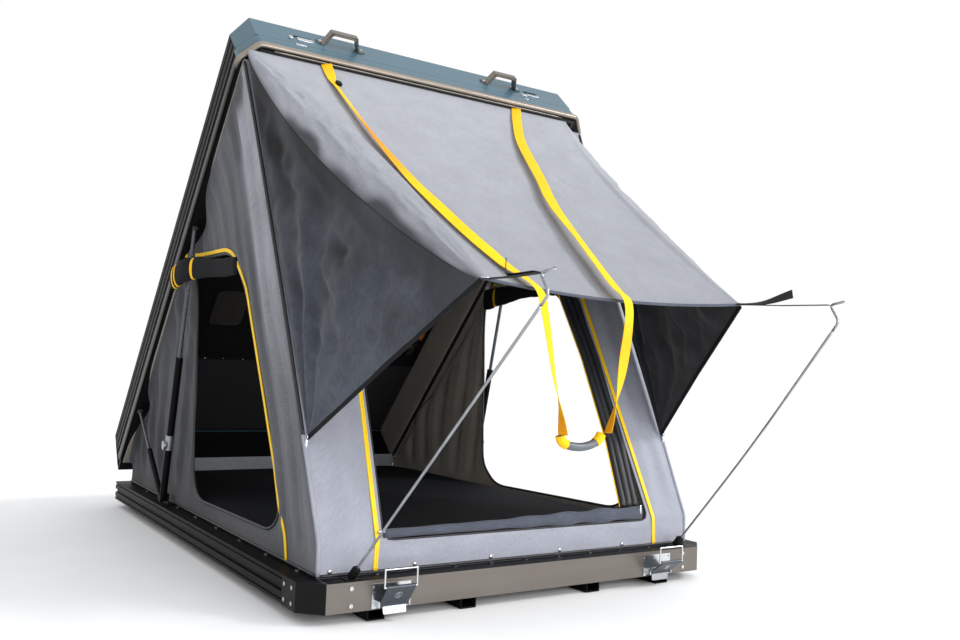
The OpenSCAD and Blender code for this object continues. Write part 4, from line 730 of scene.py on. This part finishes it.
RIGHT = dict(
    flat=[(0.356, 0.002), (0.278, 0.121), (0.186, 0.28), (0.107, 0.493), (0.061, 0.607), (0.022, 0.767),
          (-0.010, 0.918), (-0.022, 0.992)],
    hang=[(-0.012, 0.831), (-0.009, 0.762), (-0.025, 0.660), (-0.054, 0.571), (-0.079, 0.502)],
    width=[(0, 0.036), (0.6, 0.036), (0.8, 0.040), (1, 0.036)],
    twist=[(0, 12), (0.1, 6), (0.3, 10), (0.5, 4), (0.62, -14), (0.72, -14), (0.78, -10), (0.805, -20),
           (0.894, -8), (0.93, -29), (0.96, -57), (1, -84)],
    tint=[(0, 0), (0.82, 0), (0.86, 0.5), (0.92, 0.3), (0.96, 0), (0.98, 0.6), (1, 0.6)])
GRIP = [(-0.214, 0.495), (-0.211, 0.485), (-0.203, 0.477), (-0.183, 0.470), (-0.148, 0.467), (-0.115, 0.473),
        (-0.095, 0.484), (-0.085, 0.498)]
GRIP_R, WRAP_R = 0.0105, 0.0125


def strap_line(flat, hang, rise=0.0045):
    """Line of a pull strap: (x, b) points on the awning lifted off it, then (x, z) points of the hanging
    part."""
    flat, hang = np.array(flat), np.array(hang)
    on = awn(flat[:, 0], flat[:, 1], 0.25) + rise*AWN_UP
    down = np.stack([hang[:, 0], np.full(len(hang), HANG_Y), hang[:, 1]], -1)
    return np.vstack([on, down])


def fold_away(*made):
    """Gives each piece of wall cloth a mesh of its own."""
    for obj in made:
        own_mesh(obj)


def gather_up(*made):
    """Gives each piece of awning cloth and webbing a mesh of its own."""
    for obj in made:
        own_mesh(obj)


# Pull straps and their grip
grip_run = spline([(x, HANG_Y, z) for x, z in GRIP], 60)
grip = piece("pull_grip", [tube(grip_run, GRIP_R, (0, 1, 0), 20)], grip_grey, "lid",
             stands_for=("pull_handle",))
for side, route in (("left", LEFT), ("right", RIGHT)):
    strap, path = ribbon("pull_strap_" + side, strap_line(route["flat"], route["hang"]), route["width"],
                         route["twist"], route["tint"], webbing_yellow, "lid")
    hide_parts("pull_strap")
    gather_up(strap)
wraps = piece("grip_wraps", [tube(end, WRAP_R, (0, 1, 0), 16) for end in (grip_run[:13], grip_run[-12:])],
              webbing_yellow, "lid")
gather_up(grip, wraps)

# Corner webbing from the awning's corners to the rods, with loose tails
ROD_FOOT, ROD_BEND = (0.570, -1.045, 0.105), (0.472, -1.710, 0.805)
ROD_ELBOW, ROD_HOOK = (0.474, -1.681, 0.850), (0.470, -1.725, 0.856)
ROD_R, ROD_SUNK, ROD_CURVE = 0.0035, 0.012, 0.014
ROD_BOW = {-1: 0.0, 1: 0.016}
CORNER_X, CORNER_WIDE, CORNER_THICK, TAIL_RISE = 0.4275, 0.025, 0.002, 0.0028


def tail_run(sign, corner, elbow):
    """Loose end of a corner strap and the direction of its width: the left one comes back from the rod and
    stands up, the right one runs out from the corner, rises and turns over."""
    if sign < 0:
        line = spline([elbow + (0, 0.006, TAIL_RISE), elbow*0.55 + corner*0.45 + (0, 0, TAIL_RISE),
                       elbow*0.40 + corner*0.60 + (0, 0, 0.010),
                       elbow*0.38 + corner*0.62 + (0, 0, 0.040)], 60)
        return line, np.broadcast_to((0.545, 0.838, 0.0), line.shape)
    line = spline([corner + (0, -0.006, TAIL_RISE), corner*0.7 + elbow*0.3 + (0, 0, 0.006),
                   corner*0.38 + elbow*0.62 + (0, 0, 0.030)], 60)
    return line, np.array([1.0, 0, 0]) + np.linspace(0, 1, 60)[:, None]*np.array([-0.9, 0.35, 0.9])


def awning_rod(sign, side):
    """Bent steel rod: from its socket in a shallow bow to the bend, then the elbow and the hook."""
    corners = np.array([ROD_FOOT, ROD_BEND, ROD_ELBOW, ROD_HOOK])*(sign, 1, 1)
    start = corners[0] - unit(corners[1] - corners[0])*ROD_SUNK
    bow = spline([start, corners[0]*0.5 + corners[1]*0.5 + (ROD_BOW[sign], 0, 0), corners[1]], 60)
    path = np.vstack([bow[:-3], rounded(np.vstack([bow[-3], corners[1:]]), ROD_CURVE, 8, False)])
    return piece("rod_" + side + "_steel", [tube(path, ROD_R, (1, 0, 0), 12)], steel_rod, "rod_" + side,
                 stands_for=("awning_rod_" + side,))


for sign, side in SIDES:
    corner = awn(sign*CORNER_X, 1) - (0, 0.0003, 0)
    elbow = np.array(ROD_ELBOW)*(sign, 1, 1) + (0, 0.0043, 0)
    line = resample([corner, corner*0.5 + elbow*0.5 - (0, 0, 0.002), elbow], 60)
    tail_line, face = tail_run(sign, corner, elbow)
    main = piece("corner_strap_" + side, [band(line, CORNER_WIDE, CORNER_THICK, (0, 0, 1))], webbing_black)
    flat = oval(CORNER_WIDE/2, CORNER_THICK/2, 14, 0.45)
    tail = piece("corner_tail_" + side, [swept(tail_line, flat, face)], webbing_black)
    for strap in (main, tail):
        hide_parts("corner_straps")
        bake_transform(strap)
    awning_rod(sign, side)

# Tent walls, with their zips, piping, corner seams and bound hems
ZIP_WIDE, ZIP_THICK, PIPE_R, SEAM_R, FINE_PIPE_R = 0.013, 0.004, 0.0045, 0.0055, 0.0026
BINDING_Z = 0.1115
FRONT_ZIPS = {"left": [(-0.484, 0.112), (-0.476, 0.30), (-0.425, 1.40)],
              "right": [(0.507, 0.112), (0.498, 0.30), (0.432, 1.40)]}
for sign, side in SIDES:
    wall = side_wall("side_cloth_" + side, sign, "side_wall_" + side)
    out = (sign, 0, 0)
    zip_line = on_side(resample(ZIP_SIDE, 160), sign, 0.0035)
    zipper = piece("side_zip_" + side, [band(zip_line, ZIP_WIDE, ZIP_THICK, out)], zip_yellow, "base")
    edge = on_side(resample(np.vstack([DOOR_LINE[sign], DOOR_LINE[sign][:1]]), 220), sign, 0.0012)
    door_edge = piece("door_piping_" + side, [tube(edge, PIPE_R, out)], piping_black, "base")
    up = np.linspace(0.112, 1.600, 100)
    seam = np.stack([sign*(side_x(front_at(up), up) + 0.001), front_at(up) - 0.001, up], -1)
    # The seam is piped above the wing's tip and a plain fold below it
    corner_seam = piece("corner_piping_" + side, [tube(seam[23:], SEAM_R, (1, 0, 0))], piping_black, "base")
    low_seam = piece("corner_fold_" + side, [tube(seam[:24], SEAM_R, (1, 0, 0))], canvas_front, "base")
    y = np.linspace(-1.005, 1.030, 90)
    hem_line = np.stack([np.full(90, sign*(WALL_X + 0.002)), y, np.full(90, BINDING_Z)], -1)
    hem = piece("hem_binding_" + side, [tube(hem_line, PIPE_R, (1, 0, 0))], piping_black, "base")
    fold_away(wall, zipper, door_edge, corner_seam, low_seam, hem)

front = front_wall()
rear = rear_wall()
for side, line in FRONT_ZIPS.items():
    zip_line = on_front(resample(line, 140), 0.004)
    zipper = piece("front_zip_" + side, [band(zip_line, ZIP_WIDE, ZIP_THICK, FRONT_OUT)], zip_yellow, "base")
    fold_away(zipper)
hem_line = np.stack([np.linspace(-0.640, 0.640, 90), np.full(90, -1.0155), np.full(90, BINDING_Z)], -1)
front_hem = piece("hem_binding_front", [tube(hem_line, PIPE_R, (0, 1, 0))], piping_black, "base")
open_line = on_front(resample(np.vstack([FRONT_OPEN, FRONT_OPEN[:1]]), 260), 0.001)
front_edge = piece("entrance_piping", [tube(open_line, FINE_PIPE_R, FRONT_OUT)], piping_black, "base")
fold_away(front, rear, front_hem, front_edge)

# Awning and wings
AWN_AXES = np.array([(1, 0, 0), np.cross(AWN_UP, (1, 0, 0)), AWN_UP])
awning_sheet = awning()
clips, rings = [], []
for sign, _ in SIDES:
    wing_cloth, wing_trim, wing_tip = wing(sign)
    clips += [block(wing_tip + (sign*0.006, -0.004, -0.016), (0.004, 0.004, 0.014), None, 0.6, 12),
              hoop(wing_tip + (sign*0.006, -0.004, 0.002), 0.007, (0, 1, 0), (0, 0, 1))]
    rings.append(hoop(awn(sign*0.437, 1) + (0, -0.007, 0.001), 0.010, (1, 0, 0), (0, 1, 0.1)))
    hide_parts("awning_wings")
    gather_up(wing_cloth, wing_trim)
edge = awn(np.linspace(-AWN_TIP, AWN_TIP, 120), np.ones(120))
awning_piping = piece("awning_piping", [tube(edge, 0.004, (0, 0, 1))], canvas_sill, "lid")
corner_rings = piece("corner_rings", rings, steel_bright, "lid")
buckle_mid = awn(-0.428, 0.128, 0.25) + 0.010*AWN_UP
buckle = piece("strap_buckle", [block(buckle_mid, (0.009, 0.014, 0.006), AWN_AXES, 0.4)], plate_black, "lid")
gather_up(awning_sheet, awning_piping, corner_rings, buckle)
fold_away(piece("wing_clips", clips, steel_bright, "base"))


# Rolled doors, mattress and lining

# Routes of the rolls, and their ties: place along the roll and width
ROLL = {-1: [(-0.656, -0.300, 0.956), (-0.662, -0.100, 0.962), (-0.690, 0.040, 0.968), (-0.718, 0.105, 0.960),
             (-0.722, 0.205, 0.942)],
        1: [(0.654, -0.290, 0.990), (0.654, -0.100, 0.992), (0.654, 0.060, 0.980), (0.654, 0.235, 0.962)]}
ROLL_TIES = {-1: [(0.70, 0.014), (0.905, 0.012), (0.965, 0.012)], 1: [(0.10, 0.016), (0.85, 0.016)]}
ROLL_HIGH, ROLL_DEEP = 0.042, {-1: 0.0165, 1: 0.0105}
ROLL_STEPS = 200


def roll_ring(sign, a):
    """Outline of a roll at the angles a: a flat oval."""
    return np.stack([ROLL_HIGH*np.sin(a), ROLL_DEEP[sign]*np.cos(a)], -1)


def door_roll(sign):
    """Rolled door tied under the lid: a flat oval carried along the top of the door, drawn in at the ties,
    flared at its rear end and ridged along its length where the turns of cloth lie on each other."""
    path = spline(ROLL[sign], ROLL_STEPS)
    t = np.linspace(0, 1, ROLL_STEPS)
    tied = sum(bell(t, at, 0.02) for at, _ in ROLL_TIES[sign])
    size = (0.90 + 0.10*np.sin(math.pi*t)**0.5)*(1 - 0.14*np.clip(tied, 0, 1)) + 0.16*ease((t - 0.80)/0.12)
    size = size*(0.25 + 0.75*ease(t/0.03))*(0.76 + 0.24*ease((t - 0.45)/0.3))
    a, row = np.arange(40)*2*math.pi/40, t[:, None]
    turns = 1 + 0.05*np.sin(3*a + 3*row) + 0.05*lattice(a*2 + 0*row, row*14, 61)
    return path, size, carry(path, roll_ring(sign, a)*(size[:, None]*turns)[..., None], (0, 0, 1))


def roll_tie(sign, path, size, at, width):
    """Webbing loop round a roll: a thin band carried round the roll's outline, a little larger than the
    roll."""
    k = int(at*(ROLL_STEPS - 1))
    ring = roll_ring(sign, np.arange(41)*2*math.pi/40)*size[k]*1.06
    loop = carry(path[k - 1:k + 2], ring, (0, 0, 1))[1]
    return swept(loop, oval(width/2, 0.0012, 10, 0.5), unit(path[k + 1] - path[k - 1]), caps=False)


for sign, side in SIDES:
    path, size, points = door_roll(sign)
    roll = piece("door_roll_cloth_" + side, [(points, True, True, True)], canvas_black, "base",
                 stands_for=("door_roll_" + side,))
    ties = [roll_tie(sign, path, size, at, width) for at, width in ROLL_TIES[sign]]
    fold_away(roll, piece("roll_ties_" + side, ties, webbing_yellow, "base"))

PAD_MID, PAD_HALF = (0, 0, 0.1302), (0.615, 0.958, 0.0298)
mattress = piece("mattress_pad", [block(PAD_MID, PAD_HALF, None, 0.14, 72)], cover_navy, "base",
                 stands_for=("mattress",))

# Lining under the roof: flat, with its side edges bent down and a paler panel near the hinge
LINING_X, LINING_BEND, LINING_FROM, LINING_TO, LINING_W = 0.668, 0.636, 0.064, 2.055, 0.1800
LINING_PANEL, LINING_FLAT = 0.525, (1.278, 1.980)
x = np.linspace(-LINING_X, LINING_X, 80)[None]
u = np.linspace(LINING_FROM, LINING_TO, 140)[:, None]
w = LINING_W - 0.0012*np.abs(lattice(x*8, u*8, 71)) - 0.45*np.maximum(np.abs(x) - LINING_BEND, 0)
lining = piece("lining_cloth", [(lid_pt(x, u, w), False, False, False)], canvas_lining, "lid", CLOTH,
               ("lid_lining",))
shade_of(lining, np.where(u < LINING_PANEL, 1.0, 0.0) + 0*x)
studs = [block(lid_pt(x, LINING_PANEL + 0.010, 0.1775), (0.005, 0.005, 0.002), LID_AXES, 0.9, 12)
         for x in (-0.414, -0.334, -0.245, 0.245, 0.334, 0.414)]
piece("lining_studs", studs, steel_bright, "lid")

# Cloth skirts from the lid's lip up to the lining, drawn in where the struts join the lid
SKIRT = rounded([(0.688, -0.0030), (0.640, -0.0030), (0.6262, 0.008), (0.6225, 0.176)], 0.008, 6, False)
SKIRT_FROM, SKIRT_TO, SKIRT_BEND, SKIRT_FLAT = 0.060, 2.030, 0.640, (1.970, 0.218)
for sign, side in SIDES:
    x, w = np.moveaxis(resample(SKIRT, 40)[None], -1, 0)
    u = np.linspace(SKIRT_FROM, SKIRT_TO, 150)[:, None]
    inward = 0.0012*(1 + lattice(u*9, w*12, 73))*ease((w - 0.01)/0.03)
    inward = inward + np.maximum(x - SKIRT_BEND, 0)*(bell(u, LONG_END, 0.15) + bell(u, SHORT_END, 0.13))
    roof_skirt = piece("roof_skirt_" + side, [(lid_pt(sign*(x - inward), u, w), False, False, sign < 0)],
                       canvas_inner_painted_bounce, "lid", 0.0010)

# Fittings inside the lid: pull tag with its buckle, and the rail that holds the awning
piece("lid_tag", [block(lid_pt(0.575, 0.780, 0.160), (0.009, 0.052, 0.003), LID_AXES, 0.4)], nylon_orange,
      "lid")
piece("lid_tag_buckle", [block(lid_pt(0.552, 0.650, 0.166), (0.018, 0.030, 0.005), LID_AXES, 0.4),
                         hoop(lid_pt(0.560, 0.700, 0.166), 0.014, (1, 0, 0), LID_AXES[1], 0.002)],
      gunmetal, "lid")
rail_line = lid_pt(np.linspace(-0.600, 0.575, 40), 2.0835, -0.0045)
piece("awning_rail", [tube(rail_line, 0.0034, (0, 0, 1))], gunmetal, "lid")


# Lid trim on the outside of the lower frame: painted skirt, half round bead, keepers and handle strips
LID_LEN, RIM_FROM, RIM_SIDE_TO, RIM_FRONT_X = 2.095, 0.070, 2.031, 0.647
RIM = rounded([(-HALF_W, RIM_FROM), (-HALF_W, RIM_SIDE_TO), (-RIM_FRONT_X, LID_LEN), (RIM_FRONT_X, LID_LEN),
               (HALF_W, RIM_SIDE_TO), (HALF_W, RIM_FROM)], 0.012, 8, False)
RIM_OUT = LID_AXES[2]


def on_rim(line, w, out):
    """Points of the lid's outline at height w, moved out square to its run."""
    run = unit(np.gradient(line, axis=0))
    line = line + out*np.stack([-run[:, 1], run[:, 0]], -1)
    return lid_pt(line[:, 0], line[:, 1], w)


def rim_bead():
    """Half round bead along the rim: flat, dark and high on the sides, full, bright and low along the
    front."""
    run = resample(RIM, 700)
    front = ease((run[:, 1] - 1.990)/0.045)
    size = np.stack([0.0205 - 0.0080*front, 0.0045 + 0.0040*front], -1)
    path = on_rim(run, 0.0215 - 0.0130*front, -0.0010)
    made = piece("lid_bead", [swept(path, oval(1, 1, 20)[None]*size[:, None], RIM_OUT)], bead_alloy, "lid")
    shade_of(made, (1 - front)[:, None]*np.ones((1, 20)))


paint_line = on_rim(RIM[8:-8], 0.0505, -0.0012)
piece("lid_skirt", [swept(paint_line, oval(0.0215, 0.0012, 12, 0.3), RIM_OUT)], coat_teal, "lid", crisp=40)
rim_bead()
side_lines = [lid_pt(np.full(40, sign*0.6995), np.linspace(0.08, 2.028, 40), 0.0725) for sign, _ in SIDES]
piece("lid_side_line", [tube(line, 0.0014, RIM_OUT) for line in side_lines], strut_grey, "lid")

# Keepers as x, height, half width and half height
KEEPERS = [(-0.468, 0.110, 0.030, 0.010), (-0.494, 0.064, 0.020, 0.005), (0.480, 0.104, 0.030, 0.006),
           (0.434, 0.094, 0.014, 0.006), (0.430, 0.062, 0.010, 0.004)]
plates = [block(lid_pt(x, LID_LEN + 0.0012, w), (hx, 0.0016, hw), LID_AXES, 0.25) for x, w, hx, hw in KEEPERS]
plates.append(block(lid_pt(-0.520, LID_LEN + 0.002, 0.108), (0.008, 0.004, 0.010), LID_AXES, 0.8))
piece("latch_keepers", plates, steel_bright, "lid")

# Bent strips over the grab handles: feet on the panel, grip held off it
HANDLE_X, FOOT_U, GRIP_U, HANDLE_W = 0.335, 2.0975, 2.1385, 0.127
HANDLE_STEPS = [(-0.077, FOOT_U), (-0.062, FOOT_U), (-0.044, GRIP_U), (0.044, GRIP_U), (0.062, FOOT_U),
                (0.077, FOOT_U)]
strips = []
for sign, _ in SIDES:
    bent = rounded(np.array(HANDLE_STEPS) + (sign*HANDLE_X, 0), 0.010, 6, False)
    strips.append(swept(lid_pt(bent[:, 0], bent[:, 1], HANDLE_W), oval(0.018, 0.0032, 14, 0.35), RIM_OUT))
piece("handle_strips", strips, gunmetal, "lid", crisp=50)

# Details on the walls: studs along the hem, zip pulls, rolled entrance door and the rolled sill
STUD_X = (-0.612, -0.365, -0.119, 0.127, 0.374, 0.620)
studs = [block((x, -1.0165, 0.122), (0.006, 0.003, 0.006), None, 0.9, 12) for x in STUD_X]
studs += [block((0.445, -1.019, 0.224), (0.004, 0.003, 0.016), None, 0.6, 12),
          block((-0.470, -1.019, 0.214), (0.012, 0.003, 0.004), None, 0.6, 12)]
hem_studs = piece("hem_studs", studs, steel_bright, "base")

# The entrance door hangs in three folds beside the opening: how far each lies back, and its half width
FLAP_LINE = [(0.452, 0.232), (0.466, 0.435), (0.458, 0.698), (0.432, 0.91), (0.392, 1.40)]
FLAP_FOLDS = [(0.014, 0.0125), (0.038, 0.0130), (0.061, 0.0120)]
flap_z = np.linspace(0.232, 1.40, 90)
flap_x = np.interp(flap_z, [z for _, z in FLAP_LINE], [x for x, _ in FLAP_LINE])
folds = []
for k, (back, half) in enumerate(FLAP_FOLDS):
    line = on_front(np.stack([flap_x - back + 0.003*lattice(flap_z*6, 0*flap_z + k, 81), flap_z], -1), 0.004)
    swell = 1 + 0.12*lattice(flap_z*9, 0*flap_z + 3*k, 82)
    folds.append(swept(line, oval(half, 0.011, 14)[None]*swell[:, None, None], (1, 0, 0)))
flap = piece("entrance_roll", folds, cloth_coated, "base")
zip_line = on_front(np.stack([flap_x[:62] - 0.075, flap_z[:62]], -1), 0.002)
inner_zip = piece("entrance_zip", [tube(zip_line, 0.0018, (1, 0, 0))], zip_yellow, "base")

sill_x = np.linspace(-0.462, 0.452, 120)
sill_grow = ease((sill_x + 0.46)/0.9)
sill_line = np.stack([sill_x, -1.012 + 0.003*lattice(sill_x*7, 0*sill_x, 83), 0.207 + 0.008*sill_grow], -1)
sill_size = np.stack([0.011 + 0.010*sill_grow, np.full(120, 0.008)], -1)
sill_size = sill_size*(1 + 0.15*lattice(sill_x*14, 0*sill_x, 84))[:, None]
sill_ring = oval(1, 1, 14)[None]*sill_size[:, None]
sill = piece("sill_roll", [swept(sill_line, sill_ring, (0, 0, 1))], canvas_sill, "base")
fold_away(hem_studs, flap, inner_zip, sill)
ledge_line = np.stack([np.linspace(-0.640, 0.640, 30), np.full(30, -1.0462), np.full(30, 0.1056)], -1)
piece("ledge_cover", [band(ledge_line, 0.056, 0.0012, (0, 0, 1))], plate_black, "base")
piece("lid_pocket", [block(lid_pt(-0.385, 0.835, 0.174), (0.070, 0.095, 0.004), LID_AXES, 0.3)],
      canvas_pocket, "lid")

# Latch levers: bright lips and a round embossing, at the angle that each lever stands at
LATCH_X, LATCH_Y, LATCH_Z, LIP_TURN = 0.465, -1.089, 0.046, 60*DEG
for sign, side, lean in ((-1, "left", 38*DEG), (1, "right", 54*DEG)):
    pivot = np.array([sign*LATCH_X, LATCH_Y, LATCH_Z])
    up = np.array([0, -math.sin(lean), math.cos(lean)])
    out = np.array([0, -math.cos(lean), -math.sin(lean)])
    lip = np.array([0, math.sin(lean - LIP_TURN), -math.cos(lean - LIP_TURN)])
    mark = pivot + 0.036*up + 0.0047*out
    lip_axes = [(1, 0, 0), np.cross((1, 0, 0), lip), lip]
    trims = [block(pivot + 0.0165*lip, (0.0336, 0.0022, 0.0100), lip_axes, 0.15)]
    trims += [hoop(mark, radius, (1, 0, 0), up, 0.0010) for radius in (0.0100, 0.0045)]
    piece("lever_trim_" + side, trims, alloy_plain, "lever_" + side, crisp=40)

# Finishes of the parts that stay as the CAD has them; a name that ends in _ is a pair, left and right
COATS = {
    extrusion_black: ["mounting_rails", "rear_beam", "side_rail_", "lid_side_rail_", "strut_tube_",
                      "short_cylinder_"],
    plate_black: ["corner_blocks", "hinge_base_leaves", "strut_base_brackets", "rod_sockets",
                  "lid_rear_panel", "hinge_lid_leaves", "strut_lid_brackets"],
    beam_smoke: ["front_beam"],
    coat_teal: ["lid_roof", "lid_front_panel"],
    frame_alloy: ["lid_frame_front", "lid_frame_"],
    gunmetal: ["handle_"],
    steel_bright: ["frame_bolts", "press_studs", "hinge_pins", "latch_plate_", "lid_bolts", "latch_bail_"],
    steel_dark: ["latch_lever_"],
    strut_grey: ["strut_rod_", "short_rod_"],
    alloy_plain: ["cross_members", "upstand", "strut_collar_"],
    floor_board: ["floor_panel"],
    rubber: ["lid_seal"],
}
for mat, names in COATS.items():
    pairs = [name + side for name in names if name.endswith("_") for _, side in SIDES]
    for name in pairs + [name for name in names if not name.endswith("_")]:
        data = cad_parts[name].data
        data.materials.clear()
        data.materials.append(mat)

# Studio: pale floor, white surround, a large soft key from the right front and a wide fill behind the camera
FLOOR_HALF, FLOOR_Z, LIT_POINT = 30, -0.001, (0, -0.2, 0.6)
mesh = bpy.data.meshes.new("studio_floor")
mesh.from_pydata([(x*FLOOR_HALF, y*FLOOR_HALF, FLOOR_Z) for x, y in ((-1, -1), (1, -1), (1, 1), (-1, 1))], [],
                 [(0, 1, 2, 3)])
mesh.materials.append(floor_pale)
floor = bpy.data.objects.new("studio_floor", mesh)
scene.collection.objects.link(floor)
world = bpy.data.worlds.new("studio")
scene.world = world
world.use_nodes = True
world.node_tree.nodes["Background"].inputs["Color"].default_value = (1, 1, 1, 1)
world.node_tree.nodes["Background"].inputs["Strength"].default_value = 1.0


def light(kind, name, towards, distance, **settings):
    """A light that shines on the middle of the tent from a direction."""
    data = bpy.data.lights.new(name, kind)
    for key, value in settings.items():
        setattr(data, key, value)
    made = bpy.data.objects.new(name, data)
    scene.collection.objects.link(made)
    back = unit(towards)
    side = unit(np.cross((0, 0, 1), back))
    top = np.cross(back, side)
    place = back*distance + LIT_POINT
    made.matrix_world = Matrix([[side[k], top[k], back[k], place[k]] for k in range(3)] + [[0, 0, 0, 1]])


light("SUN", "key", (0.70, -0.55, 0.62), 0, energy=1.5, angle=16*DEG)
light("AREA", "fill", (0.10, -1.0, 0.16), 5.5, energy=170, shape="RECTANGLE", size=4.0, size_y=2.0)
scene.view_settings.view_transform = "Standard"

bpy.context.view_layer.update()
